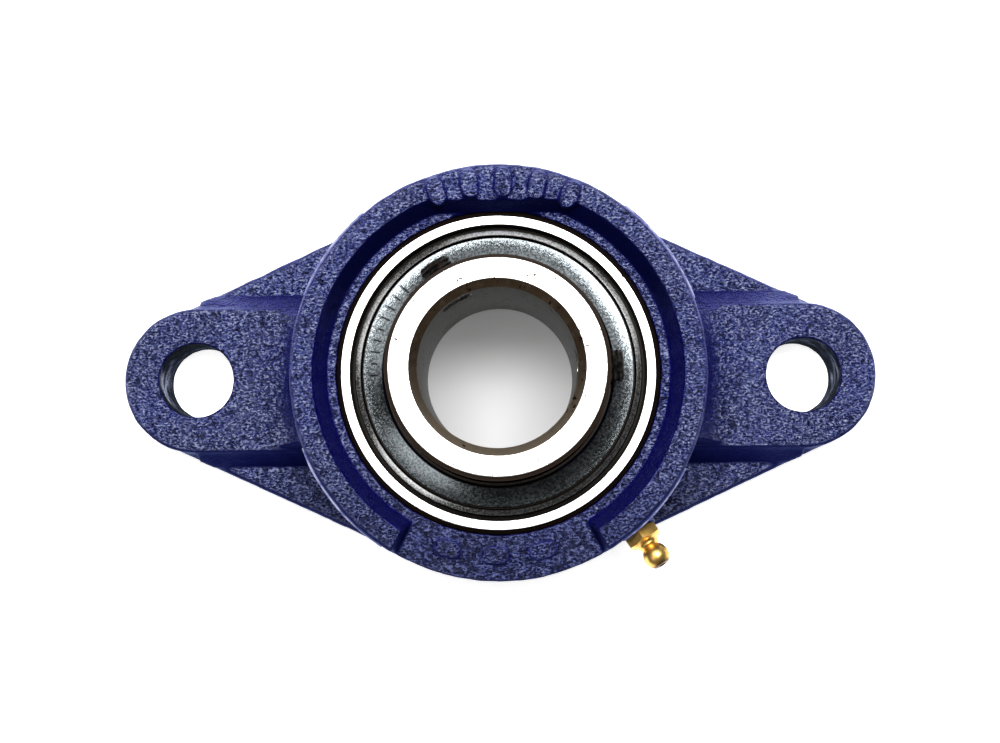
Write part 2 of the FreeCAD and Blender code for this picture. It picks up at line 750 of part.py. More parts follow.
def grease_nipple_body():
    """Hexagon, neck and ball-shaped head in one piece, bored for the valve."""
    hex_top = NIPPLE_HEX_HEIGHT
    corner_r = NIPPLE_HEX_WIDTH / math.sqrt(3)
    chamfer = NIPPLE_HEX_CHAMFER
    blank = turned(
        (0, 0),
        (corner_r - chamfer, 0),
        (corner_r, chamfer / 2),
        (corner_r, hex_top - chamfer),
        (corner_r - 2 * chamfer, hex_top),
        (0, hex_top),
    )
    nut = hexagon(NIPPLE_HEX_WIDTH, hex_top, corner_angle=NIPPLE_HEX_TURN).common(blank)
    tip_r = math.sqrt(NIPPLE_HEAD_R ** 2 - (NIPPLE_TIP - NIPPLE_HEAD_CENTRE) ** 2)
    join_dz = NIPPLE_HEAD_CENTRE - NIPPLE_NECK_END
    join_r = math.sqrt(NIPPLE_HEAD_R ** 2 - join_dz ** 2)
    waist_z = (hex_top + NIPPLE_NECK_END) / 2 + NIPPLE_WAIST_SHIFT
    head = turned(
        (0, hex_top / 2),
        (NIPPLE_FOOT_R, hex_top / 2),
        (NIPPLE_FOOT_R, hex_top),
        ((NIPPLE_NECK_R, waist_z), (join_r, NIPPLE_NECK_END)),
        ((NIPPLE_HEAD_R, NIPPLE_HEAD_CENTRE), (tip_r, NIPPLE_TIP)),
        (0, NIPPLE_TIP),
    )
    bottom = -NIPPLE_SHANK_LENGTH
    shank = rod(NIPPLE_SHANK_R, NIPPLE_SHANK_LENGTH + hex_top / 2, Vector(0, 0, bottom))
    body = shank.fuse(nut).fuse(head)
    seat_rise = NIPPLE_CHAMBER_R - NIPPLE_INLET_R
    passage = turned(
        (0, bottom - OVERSHOOT),
        (NIPPLE_OUTLET_R, bottom - OVERSHOOT),
        (NIPPLE_OUTLET_R, bottom + NIPPLE_LEDGE),
        (NIPPLE_CHAMBER_R, bottom + NIPPLE_LEDGE),
        (NIPPLE_CHAMBER_R, NIPPLE_CHAMBER_END),
        (NIPPLE_INLET_R, NIPPLE_CHAMBER_END + seat_rise),
        (NIPPLE_INLET_R, NIPPLE_TIP + OVERSHOOT),
        (0, NIPPLE_TIP + OVERSHOOT),
    )
    return on_nipple_axis(body.cut(passage))


def nipple_check_ball():
    """Small steel ball that closes the nipple's inlet from inside."""
    return on_nipple_axis(Part.makeSphere(CHECK_BALL_R, Vector(0, 0, CHECK_BALL_CENTRE)))


def nipple_spring():
    """Coil spring between the nipple's ledge and the check ball."""
    low = -NIPPLE_SHANK_LENGTH + NIPPLE_LEDGE + SPRING_WIRE_R + SPRING_GAP
    touch = math.sqrt((CHECK_BALL_R + SPRING_WIRE_R) ** 2 - SPRING_COIL_R ** 2)
    high = CHECK_BALL_CENTRE - touch - SPRING_GAP
    height = high - low
    helix = Part.makeHelix(height / SPRING_TURNS, height, SPRING_COIL_R)
    start = Vector(SPRING_COIL_R, 0, 0)
    wire_circle = Part.makeCircle(SPRING_WIRE_R, start, Vector(0, 1, 0))
    coil = Part.Wire(helix.Edges).makePipeShell([Part.Wire(wire_circle)], True, True)
    coil.translate(Vector(0, 0, low))
    return on_nipple_axis(coil)


# ---- All nodes ----

def main():
    save("housing", housing())
    save("grease_nipple_body", grease_nipple_body())
    save("nipple_check_ball", nipple_check_ball())
    save("nipple_spring", nipple_spring())
    save("outer_ring", outer_ring())
    save("inner_ring", inner_ring())
    for name, piece in (
        ("seal_carrier", front_seal_carrier()),
        ("seal_lip", front_seal_lip()),
        ("slinger", front_slinger()),
    ):
        save("front_" + name, piece)
        save("rear_" + name, mirrored_in_bearing(piece))
    front_half = cage_front_half()
    save("cage_front_half", front_half)
    save("cage_rear_half", mirrored_in_bearing(front_half))
    save("cage_rivets", cage_rivets())
    for index in range(BALL_COUNT):
        save(f"ball_{index + 1}", ball(index))
    for index, angle in enumerate(SCREW_ANGLES):
        save(f"set_screw_{index + 1}", set_screw(angle))


main()
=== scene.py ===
import json
import math

import bmesh
import bpy
import numpy as np
from mathutils import Matrix, Vector


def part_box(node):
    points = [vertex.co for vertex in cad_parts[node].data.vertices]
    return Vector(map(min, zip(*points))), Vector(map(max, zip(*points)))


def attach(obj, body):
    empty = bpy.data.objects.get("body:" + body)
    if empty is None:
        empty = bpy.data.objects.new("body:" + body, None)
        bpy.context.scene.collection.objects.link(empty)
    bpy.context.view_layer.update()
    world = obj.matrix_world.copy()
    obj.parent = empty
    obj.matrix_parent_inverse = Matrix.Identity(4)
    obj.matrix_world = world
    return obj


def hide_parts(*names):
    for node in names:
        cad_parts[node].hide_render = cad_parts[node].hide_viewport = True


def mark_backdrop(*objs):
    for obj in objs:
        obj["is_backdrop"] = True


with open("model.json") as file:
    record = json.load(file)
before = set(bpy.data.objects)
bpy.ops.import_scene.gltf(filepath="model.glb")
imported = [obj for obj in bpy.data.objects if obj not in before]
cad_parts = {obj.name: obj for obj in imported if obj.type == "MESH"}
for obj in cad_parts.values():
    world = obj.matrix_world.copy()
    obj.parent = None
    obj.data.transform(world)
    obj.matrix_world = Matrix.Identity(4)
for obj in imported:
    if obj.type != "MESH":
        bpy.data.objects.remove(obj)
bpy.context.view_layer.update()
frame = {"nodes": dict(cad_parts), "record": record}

# The visual model of a two-bolt flange bearing. Sizes are in millimetres unless a name
# ends in _M, and every mesh is made in metres in the part's own frame: the origin is on
# the mounting face, +Z is the shaft's axis, and the bolt holes lie on X.

MM = 0.001


def span_mm(node):
    """Lowest and highest corner of a CAD node, in millimetres."""
    low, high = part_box(node)
    return low / MM, high / MM


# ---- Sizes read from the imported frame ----
MOUNTS = {mount["name"]: mount for mount in frame["record"]["mounts"]}
BORE_R = MOUNTS["bore"]["dims"]["r_mm"]
BOLT_X = MOUNTS["bolt_holes"]["dims"]["spacing_x_mm"] / 2
BOLT_HOLE_R = MOUNTS["bolt_holes"]["dims"]["hole_r_mm"]
OUTER_LOW, OUTER_HIGH = span_mm("outer_ring")
INNER_LOW, INNER_HIGH = span_mm("inner_ring")
BEARING_Z = (OUTER_LOW.z + OUTER_HIGH.z) / 2

# ---- Housing ----
SEAT_R = 31.05
BOSS_TOP_R = 38.4
BOSS_EDGE_R = 1.5
RIM_Z = 31.0
CASTING_VOXEL = 0.56
CASTING_SMOOTH_FACTOR = 0.5
CASTING_SMOOTH_STEPS = 4
MACHINED_Z = 0.35
RELIEF_SIZES = (6.0, 2.6, 1.3)
RELIEF_SEEDS = (3, 5, 7)
RELIEF_DEPTH = 0.10
RELIEF_FADE = 0.6
FLASH_ARCS = ((20, 52), (130, 158), (201, 236), (306, 332))
FLASH_STEPS_PER_DEGREE = 2
FLASH_HALF = 0.08
FLASH_ROOT = 0.3
FLASH_DROP = 0.1
FLASH_PROUD = 0.02
FLASH_TAPER = 6
FLASH_WOBBLE = ((0.04, 9), (0.03, 23))

# ---- Outer ring ----
OUTER_SPHERE_R = 31.0
OUTER_FACE_R = 28.85
OUTER_MOUTH_R = 27.3
OUTER_SHOULDER_R = 26.3
OUTER_SHOULDER_LAND = 1.0
OUTER_CHAMFER_Z = 0.55
OUTER_CORNER_R = 0.12
OUTER_CORNER_TURN = 1.5
OUTER_SPHERE_TURN = 2.0
OUTER_STEPS_ABOVE_GROOVE = 14
OUTER_STEPS_BELOW_GROOVE = 5
GREASE_GROOVE = (12.3, 16.7)
GREASE_GROOVE_R = 30.0

# ---- Seal carriers ----
SEAL_WEB_LOW = 6.4
SEAL_WEB_HIGH = 7.15
SEAL_WEB_R = 27.7
SEAL_WEB_BORE_R = 21.9
SEAL_BEAD_R_IN = 25.3
SEAL_BEAD_R_OUT = 26.5
SEAL_BEAD_HIGH = 8.95
SEAL_BEAD_FALL = 0.45
SEAL_CORNER_R = 0.14

# ---- Races ----
PITCH_R = 23.0
BALL_R = 4.7625
RACE_R = 4.953
RACE_CLEARANCE = 0.02
RACE_STEPS = 16

# ---- Inner ring ----
INNER_R = 20.1
INNER_EDGE = 0.8
INNER_LAND_Z = 6.0
INNER_CORNER_R = 0.16
BORE_CHAMFER = 1.45

# ---- Slingers, with short pressed ticks on the front one ----
SLINGER_R = 24.9
SLINGER_COLLAR_R = 20.9
SLINGER_COLLAR_HEIGHT = 0.4
SLINGER_SHEET = 0.8
SLINGER_BACK = 8.3
SLINGER_FRONT = SLINGER_BACK + SLINGER_SHEET
SLINGER_RISE = 0.9
SLINGER_HEM_WIDTH = 0.5
SLINGER_HEM_DEPTH = 0.6
SLINGER_CORNER_R = 0.25
CONE_R_IN = SLINGER_COLLAR_R + 0.4
CONE_R_OUT = SLINGER_R - 0.1
CONE_SLOPE = SLINGER_RISE / (CONE_R_OUT - CONE_R_IN)
TICK_COUNT = 9
TICK_START = 138.0
TICK_PITCH = 5.4
TICK_R = 22.9
TICK_RISE = 0.53 * SLINGER_RISE
TICK_LENGTHS = (1.9, 1.2, 1.6)
TICK_WIDTH = 0.32
TICK_DEPTH = 0.3

# ---- Set screws and their tapped holes ----
SCREW_ANGLES = (1.0, 121.0)
SCREW_FROM_END = 6.0
SCREW_R = 3.0
SCREW_LENGTH = 6.0
SCREW_OUTER_R = 22.4
SCREW_PITCH = 0.9
SCREW_THREAD_DEPTH = 0.32
SCREW_SPARE = 0.1
SCREW_POINT_R = 1.6
SCREW_POINT_LENGTH = 1.5
SCREW_TOP_R = 2.55
SCREW_TOP_BEVEL = 0.5
SCREW_SOCKET_WIDTH = 3.0
SCREW_SOCKET_DEPTH = 2.6
SCREW_CUP_R = 1.9
SCREW_CUP_DEPTH = 0.8
SCREW_CUP_START = 0.5
TAP_R = 3.35
TAP_THREAD_DEPTH = 0.35
TAP_SPARE_IN = 2.0

# ---- Grease nipple ----
NIPPLE_ANGLE = -48.6
NIPPLE_AIM = -57.0
NIPPLE_TILT = 14.0
NIPPLE_SEAT_R = 39.6
NIPPLE_SEAT_Z = 18.6
NIPPLE_HEX_WIDTH = 6.2
NIPPLE_HEX_HEIGHT = 2.2
NIPPLE_HEX_TURN = 185.0
NIPPLE_HEX_CORE_R = 2.3
NIPPLE_HEX_EDGE = 0.06
NIPPLE_HEX_SLACK = 0.02
NIPPLE_HEX_FOOT = (0.35, 0.2)       # cut off the corners, and over what height
NIPPLE_HEX_TOP = (0.75, 0.4)
NIPPLE_WAIST = (                    # radius, and height above the hexagon
    (2.6, -0.4),
    (2.6, 0.02),
    (2.25, 0.25),
    (2.03, 0.55),
    (2.0, 0.8),
)
NIPPLE_HEAD_R = 2.45
NIPPLE_HEAD_CENTRE = 5.4
NIPPLE_NECK_TURN = -50.0
NIPPLE_BALL_TURN = -46.0
NIPPLE_BALL_STEPS = 22
NIPPLE_TIP = 7.45
NIPPLE_TIP_EDGE = 0.08
NIPPLE_TIP_TURN = 3.0
NIPPLE_INLET_R = 0.65
NIPPLE_INLET_EDGE = 0.15
NIPPLE_CHAMBER_R = 1.15
NIPPLE_CHAMBER_END = 5.9
NIPPLE_CHAMBER_START = -5.0
NIPPLE_OUTLET_R = 0.6
NIPPLE_SHANK_R = 2.6
NIPPLE_SHANK_LENGTH = 6.0
NIPPLE_END_BEVEL = 0.3
NIPPLE_END_STEP = 0.05
NIPPLE_ROOT_R = NIPPLE_SHANK_R - 0.35
NIPPLE_CORE_R = 2.2
NIPPLE_CORE_Z = 0.4
NIPPLE_THREAD_START = -5.5
NIPPLE_THREAD_END = -0.6
NIPPLE_THREAD_PITCH = 0.8
NIPPLE_THREAD_TURNS = 6

# ---- Meshing ----
WELD_M = 1e-7
CUT_SPARE = 1.0
SHARP_ANGLE = 38.0
FINE_SHARP_ANGLE = 30.0
CASTING_SHARP_ANGLE = 75.0
ROUND_STEPS = 4
ROUND_REACH = 0.45
STRAIGHT_ANGLE = 165.0
TURN_SEGMENTS = 288
SMALL_SEGMENTS = 48
NIPPLE_SEGMENTS = 96
THREAD_ROWS = 8

# ---- Stage ----
FLOOR_HALF = 4000.0
FLOOR_DROP = 0.02
SHADE_R = (16.0, 30.0)
WORLD_LIGHT = 0.04
CAMERA_SENSOR = 36.0
CAMERA_LENS = 58.58
CAMERA_PLACE_M = (0.00376, -0.02208, 0.3253)
CAMERA_TURN = (4.242, 0.704, -0.522)
CAMERA_NEAR_M = 0.01
CAMERA_FAR_M = 20.0


# ---- Mesh helpers ----

def link(name, mesh):
    """A new object for a mesh, in the scene."""
    piece = bpy.data.objects.new(name, mesh)
    bpy.context.scene.collection.objects.link(piece)
    return piece


def make_mesh(name, points, faces):
    """Mesh from points in millimetres, with its normals facing out."""
    mesh = bpy.data.meshes.new(name)
    mesh.from_pydata([tuple(value * MM for value in point) for point in points], [], faces)
    tidy(mesh)
    return mesh


def tidy(mesh):
    """Weld what coincides and face the normals outwards."""
    work = bmesh.new()
    work.from_mesh(mesh)
    bmesh.ops.remove_doubles(work, verts=work.verts, dist=WELD_M)
    bmesh.ops.recalc_face_normals(work, faces=work.faces)
    work.to_mesh(mesh)
    work.free()


def smooth(piece, angle):
    """Smooth shading, broken at edges sharper than an angle in degrees."""
    mesh = piece.data
    mesh.polygons.foreach_set("use_smooth", [True] * len(mesh.polygons))
    mesh.set_sharp_from_angle(angle=math.radians(angle))
    mesh.update()


def applied(piece):
    """Replace a piece's mesh by what its modifiers make of it."""
    bpy.context.view_layer.update()
    graph = bpy.context.evaluated_depsgraph_get()
    mesh = bpy.data.meshes.new_from_object(piece.evaluated_get(graph))
    piece.modifiers.clear()
    old = piece.data
    piece.data = mesh
    bpy.data.meshes.remove(old)
    return piece


def on_circle(centre, radius, angle):
    """The point of a circle in the (r, z) plane at an angle in degrees."""
    turn = math.radians(angle)
    return (centre[0] + radius * math.cos(turn), centre[1] + radius * math.sin(turn))


def arc(centre, radius, start, end, steps):
    """Points of an arc in the (r, z) plane, angles in degrees."""
    turns = [start + (end - start) * i / steps for i in range(steps + 1)]
    return [on_circle(centre, radius, turn) for turn in turns]


def rounded(outline, radius, closed=True):
    """The outline with its corners rounded by about a radius."""
    count = len(outline)
    result = []
    for i, corner in enumerate(outline):
        if not closed and i in (0, count - 1):
            result.append(corner)
            continue
        here = Vector(corner)
        before = Vector(outline[i - 1]) - here
        after = Vector(outline[(i + 1) % count]) - here
        bend = before.angle(after)
        if bend > math.radians(STRAIGHT_ANGLE):
            result.append(corner)
            continue
        longest = ROUND_REACH * min(before.length, after.length)
        reach = min(radius / math.tan(bend / 2), longest)
        first = here + before.normalized() * reach
        last = here + after.normalized() * reach
        for step in range(ROUND_STEPS + 1):
            t = step / ROUND_STEPS
            point = first * (1 - t) ** 2 + here * 2 * t * (1 - t) + last * t ** 2
            result.append(tuple(point))
    return result


def lathe(name, outline, closed=True, segments=TURN_SEGMENTS):
    """Turn an (r, z) outline about Z. An open outline starts and ends on the axis."""
    profile = np.array(outline)
    turns = np.linspace(0, 2 * math.pi, segments, endpoint=False)
    r, z = profile[:, 0], profile[:, 1]
    count = len(profile)
    points = np.stack([
        np.outer(np.cos(turns), r),
        np.outer(np.sin(turns), r),
        np.outer(np.ones(segments), z),
    ], axis=2).reshape(-1, 3)
    faces = []
    for segment in range(segments):
        here, there = segment * count, (segment + 1) % segments * count
        for i in range(count if closed else count - 1):
            j = (i + 1) % count
            faces.append((here + i, there + i, there + j, here + j))
    return link(name, make_mesh(name, points.tolist(), faces))


def threaded_rod(name, radius, depth, low, high):
    """A closed rod about Z whose side is a screw thread."""
    rows = max(4, int((high - low) / SCREW_PITCH * THREAD_ROWS))
    segments = SMALL_SEGMENTS
    points = []
    for row in range(rows + 1):
        z = low + (high - low) * row / rows
        for segment in range(segments):
            turn = 2 * math.pi * segment / segments
            phase = (z / SCREW_PITCH - segment / segments) % 1.0
            r = radius - depth * abs(2 * phase - 1)
            points.append((r * math.cos(turn), r * math.sin(turn), z))
    faces = []
    for row in range(rows):
        here, above = row * segments, (row + 1) * segments
        for segment in range(segments):
            after = (segment + 1) % segments
            faces.append((here + segment, here + after, above + after, above + segment))
    faces.append(tuple(range(segments))[::-1])
    faces.append(tuple(rows * segments + segment for segment in range(segments)))
    return link(name, make_mesh(name, points, faces))


def hexagon_prism(name, width, low, high, corner_angle=0.0):
    """Hexagonal prism about Z, of a width across flats."""
    corner_r = width / math.sqrt(3)
    points = []
    for z in (low, high):
        for i in range(6):
            turn = math.radians(corner_angle + 60 * i)
            points.append((corner_r * math.cos(turn), corner_r * math.sin(turn), z))
    sides = [(i, (i + 1) % 6, 6 + (i + 1) % 6, 6 + i) for i in range(6)]
    faces = sides + [tuple(range(6))[::-1], tuple(range(6, 12))]
    return link(name, make_mesh(name, points, faces))


def brick(name, length, width, height):
    """A box centred on the origin."""
    points = []
    for z in (-height / 2, height / 2):
        for x, y in ((-1, -1), (1, -1), (1, 1), (-1, 1)):
            points.append((x * length / 2, y * width / 2, z))
    faces = [(3, 2, 1, 0), (4, 5, 6, 7)]
    faces += [(i, (i + 1) % 4, 4 + (i + 1) % 4, 4 + i) for i in range(4)]
    return link(name, make_mesh(name, points, faces))


def combine(piece, tool, operation):
    """Boolean of a piece with a tool, which is then removed."""
    modifier = piece.modifiers.new("boolean", "BOOLEAN")
    modifier.operation = operation
    modifier.solver = "EXACT"
    modifier.object = tool
    applied(piece)
    bpy.data.objects.remove(tool)
    return piece


def placed(piece, matrix):
    """Move a piece's mesh to its place, so that its object stays at the origin."""
    piece.data.transform(matrix)
    piece.data.update()
    return piece


def turned_over(piece):
    """Mirror a piece to the other side of the bearing's mid plane."""
    flip = Matrix.Diagonal((1, 1, -1, 1))
    placed(piece, Matrix.Translation((0, 0, 2 * BEARING_Z * MM)) @ flip)
    piece.data.flip_normals()
    return piece


# ---- Repeatable noise for real relief ----

HASH_X, HASH_Y, HASH_Z, HASH_SEED = 73856093, 19349663, 83492791, 2654435761
HASH_MIX = 1274126177
HASH_TOP = 0xFFFF


def lattice(ix, iy, iz, seed):
    """One repeatable number from 0 to 1 for each point of an integer lattice."""
    mixed = (ix * HASH_X) ^ (iy * HASH_Y) ^ (iz * HASH_Z) ^ (seed * HASH_SEED)
    mixed = (mixed ^ (mixed >> 13)) * HASH_MIX
    return ((mixed ^ (mixed >> 16)) & HASH_TOP) / HASH_TOP


def soft_noise(points, size, seed):
    """Smooth noise from 0 to 1 over points in millimetres, with bumps of about a size."""
    scaled = points / size
    base = np.floor(scaled).astype(np.int64)
    part = scaled - base
    part = part * part * (3 - 2 * part)
    total = np.zeros(len(points))
    for corner in range(8):
        offset = np.array([corner & 1, corner >> 1 & 1, corner >> 2 & 1])
        share = np.prod(np.where(offset, part, 1 - part), axis=1)
        cell = base + offset
        total += share * lattice(cell[:, 0], cell[:, 1], cell[:, 2], seed)
    return total


# ---- Shader helpers ----

class Shader:
    """A material with one Principled shader and short calls to add nodes to it."""

    def __init__(self, name, **sockets):
        self.material = bpy.data.materials.new(name)
        self.material.use_nodes = True
        self.tree = self.material.node_tree
        self.surface = self.tree.nodes["Principled BSDF"]
        for socket, value in sockets.items():
            self.surface.inputs[socket.replace("_", " ")].default_value = value

    def node(self, kind, **settings):
        """A new node of a kind, with its settings."""
        made = self.tree.nodes.new("ShaderNode" + kind)
        for key, value in settings.items():
            setattr(made, key, value)
        return made

    def feed(self, socket, value):
        """Join an output to a socket, or set the socket to a plain value."""
        if isinstance(value, bpy.types.NodeSocket):
            self.tree.links.new(value, socket)
        else:
            socket.default_value = value

    def coat(self, socket, value):
        """Feed a socket of the Principled shader."""
        self.feed(self.surface.inputs[socket], value)

    def place(self):
        """Object coordinates in millimetres."""
        coords = self.node("TexCoord")
        scale = self.node("VectorMath", operation="SCALE")
        self.feed(scale.inputs[0], coords.outputs["Object"])
        scale.inputs["Scale"].default_value = 1 / MM
        return scale.outputs["Vector"]

    def split(self, vector):
        """A vector's x, y and z."""
        parts = self.node("SeparateXYZ")
        self.feed(parts.inputs[0], vector)
        return parts.outputs

    def length(self, vector):
        node = self.node("VectorMath", operation="LENGTH")
        self.feed(node.inputs[0], vector)
        return node.outputs["Value"]

    def radius(self, vector):
        """Distance from the Z axis."""
        return self.length(self.stretch(vector, (1, 1, 0)))

    def offset(self, vector, delta):
        node = self.node("VectorMath", operation="ADD")
        self.feed(node.inputs[0], vector)
        node.inputs[1].default_value = delta
        return node.outputs["Vector"]

    def stretch(self, vector, factors):
        node = self.node("VectorMath", operation="MULTIPLY")
        self.feed(node.inputs[0], vector)
        node.inputs[1].default_value = factors
        return node.outputs["Vector"]

    def noise(self, vector, size, detail=2.0, rough=0.5, twist=0.0):
        """Noise from 0 to 1 with features of about a size."""
        node = self.node("TexNoise")
        self.feed(node.inputs["Vector"], vector)
        node.inputs["Scale"].default_value = 1 / size
        node.inputs["Detail"].default_value = detail
        node.inputs["Roughness"].default_value = rough
        node.inputs["Distortion"].default_value = twist
        return node.outputs["Fac"]

    def rings(self, vector, size, twist=0.0):
        """Fine circles about Z, as from turning or grinding."""
        node = self.node("TexWave", wave_type="RINGS", rings_direction="Z")
        self.feed(node.inputs["Vector"], vector)
        node.inputs["Scale"].default_value = 1 / size / math.pi
        node.inputs["Distortion"].default_value = twist
        node.inputs["Detail"].default_value = 2.0
        return node.outputs["Fac"]

    def math(self, operation, a, b=0.0):
        node = self.node("Math", operation=operation)
        self.feed(node.inputs[0], a)
        self.feed(node.inputs[1], b)
        return node.outputs[0]

    def times(self, value, *others):
        """All the values multiplied together."""
        for other in others:
            value = self.math("MULTIPLY", value, other)
        return value

    def most(self, value, *others):
        """The greatest of the values."""
        for other in others:
            value = self.math("MAXIMUM", value, other)
        return value

    def minus(self, a, b):
        return self.math("SUBTRACT", a, b)

    def band(self, value, low, high, to_low=0.0, to_high=1.0):
        """Map low..high to to_low..to_high, smoothly, and hold beyond them."""
        node = self.node("MapRange", interpolation_type="SMOOTHSTEP")
        self.feed(node.inputs["Value"], value)
        node.inputs["From Min"].default_value = low
        node.inputs["From Max"].default_value = high
        node.inputs["To Min"].default_value = to_low
        node.inputs["To Max"].default_value = to_high
        return node.outputs["Result"]

    def blend(self, share, a, b):
        """Colour a where share is 0 and b where it is 1."""
        node = self.node("Mix", data_type="RGBA")
        self.feed(node.inputs["Factor"], share)
        for letter, value in (("A", a), ("B", b)):
            colour = value if isinstance(value, bpy.types.NodeSocket) else (*value, 1.0)
            self.feed(self.colour_socket(node, letter), colour)
        return node.outputs[2]

    @staticmethod
    def colour_socket(node, letter):
        """A Mix node's colour input A or B. Its number and vector inputs share the names."""
        return next(s for s in node.inputs if s.name == letter and s.type == "RGBA")

    def bump(self, height, distance, strength=1.0, before=None):
        """Relief of a height in millimetres, on top of an earlier one."""
        node = self.node("Bump")
        self.feed(node.inputs["Height"], height)
        node.inputs["Distance"].default_value = distance * MM
        node.inputs["Strength"].default_value = strength
        if before is not None:
            self.feed(node.inputs["Normal"], before)
        return node.outputs["Normal"]


# ---- Colours, as linear red, green and blue ----

WHITE = (1.0, 1.0, 1.0, 1.0)
ENAMEL_SHEEN = (0.76, 0.86, 1.0, 1.0)
ENAMEL_DARK = (0.003, 0.006, 0.095)
ENAMEL_LIGHT = (0.005, 0.010, 0.13)
ENAMEL_FLANK = (0.003, 0.003, 0.13)
ENAMEL_GLINT = (0.18, 0.20, 0.32)
ENAMEL_HOLLOW_SHADE = (0.001, 0.001, 0.018)
ENAMEL_SHADED = (0.001, 0.002, 0.065)
ENAMEL_HOLE_SHADE = (0.002, 0.002, 0.008)
FLASH_DARK = (0.10, 0.11, 0.30)
FLASH_PALE = (0.30, 0.31, 0.48)
IRON_DARK = (0.10, 0.095, 0.09)
IRON_LIGHT = (0.24, 0.23, 0.22)
OUTER_STEEL_DARK = (0.74, 0.735, 0.72)
OUTER_STEEL_LIGHT = (0.86, 0.86, 0.85)
OUTER_STAIN = (0.03, 0.016, 0.009)
OUTER_OIL_AND_SHADE = (0.016, 0.010, 0.007)
INNER_STEEL_DARK = (0.70, 0.69, 0.67)
INNER_STEEL_LIGHT = (0.86, 0.855, 0.84)
BORE_SHADE_DARK = (0.10, 0.10, 0.099)
BORE_SHADE_LIGHT = (0.26, 0.26, 0.257)
LIP_OIL_SHADED = (0.13, 0.088, 0.052)
LIP_OIL_LIT = (0.50, 0.42, 0.32)
INNER_DIRT_AND_SHADE = (0.028, 0.016, 0.010)
SLINGER_LIGHT = (0.25, 0.275, 0.29)
SLINGER_DARK = (0.11, 0.125, 0.132)
SLINGER_SHADE = (0.007, 0.006, 0.005)
SEAL_LIGHT = (0.68, 0.69, 0.69)
SEAL_DARK = (0.38, 0.38, 0.38)
SEAL_OIL_AND_SHADE = (0.008, 0.007, 0.006)
BRASS_LIGHT = (0.88, 0.56, 0.17)
BRASS_DARK = (0.62, 0.36, 0.08)
BRASS_DIRT = (0.045, 0.02, 0.01)
OXIDE_DARK = (0.012, 0.011, 0.010)
OXIDE_LIGHT = (0.045, 0.035, 0.03)
RUBBER_DARK = (0.012, 0.012, 0.012)
RUBBER_LIGHT = (0.035, 0.035, 0.034)
CAGE_STEEL = (0.62, 0.60, 0.56)
BALL_STEEL = (0.86, 0.86, 0.87)
FLOOR_DARK = (0.90, 0.90, 0.90)
FLOOR_LIGHT = (0.93, 0.93, 0.93)
FLOOR_SHADE = (0.50, 0.50, 0.50)


# ---- Materials ----

def machined_mask(s, place):
    """1 on the casting's machined faces, which are its spherical seat and its back."""
    from_seat = s.length(s.offset(place, (0, 0, -BEARING_Z)))
    seat = s.band(from_seat, SEAT_R + 0.12, SEAT_R + 0.02)
    back = s.band(s.split(place)[2], 0.22, 0.08)
    return s.most(seat, back)


def bolt_hole_mask(s, place):
    """1 on the walls of the two bolt holes."""
    right = s.radius(s.offset(place, (-BOLT_X, 0, 0)))
    left = s.radius(s.offset(place, (BOLT_X, 0, 0)))
    return s.band(s.math("MINIMUM", right, left), BOLT_HOLE_R + 0.25, BOLT_HOLE_R + 0.1)


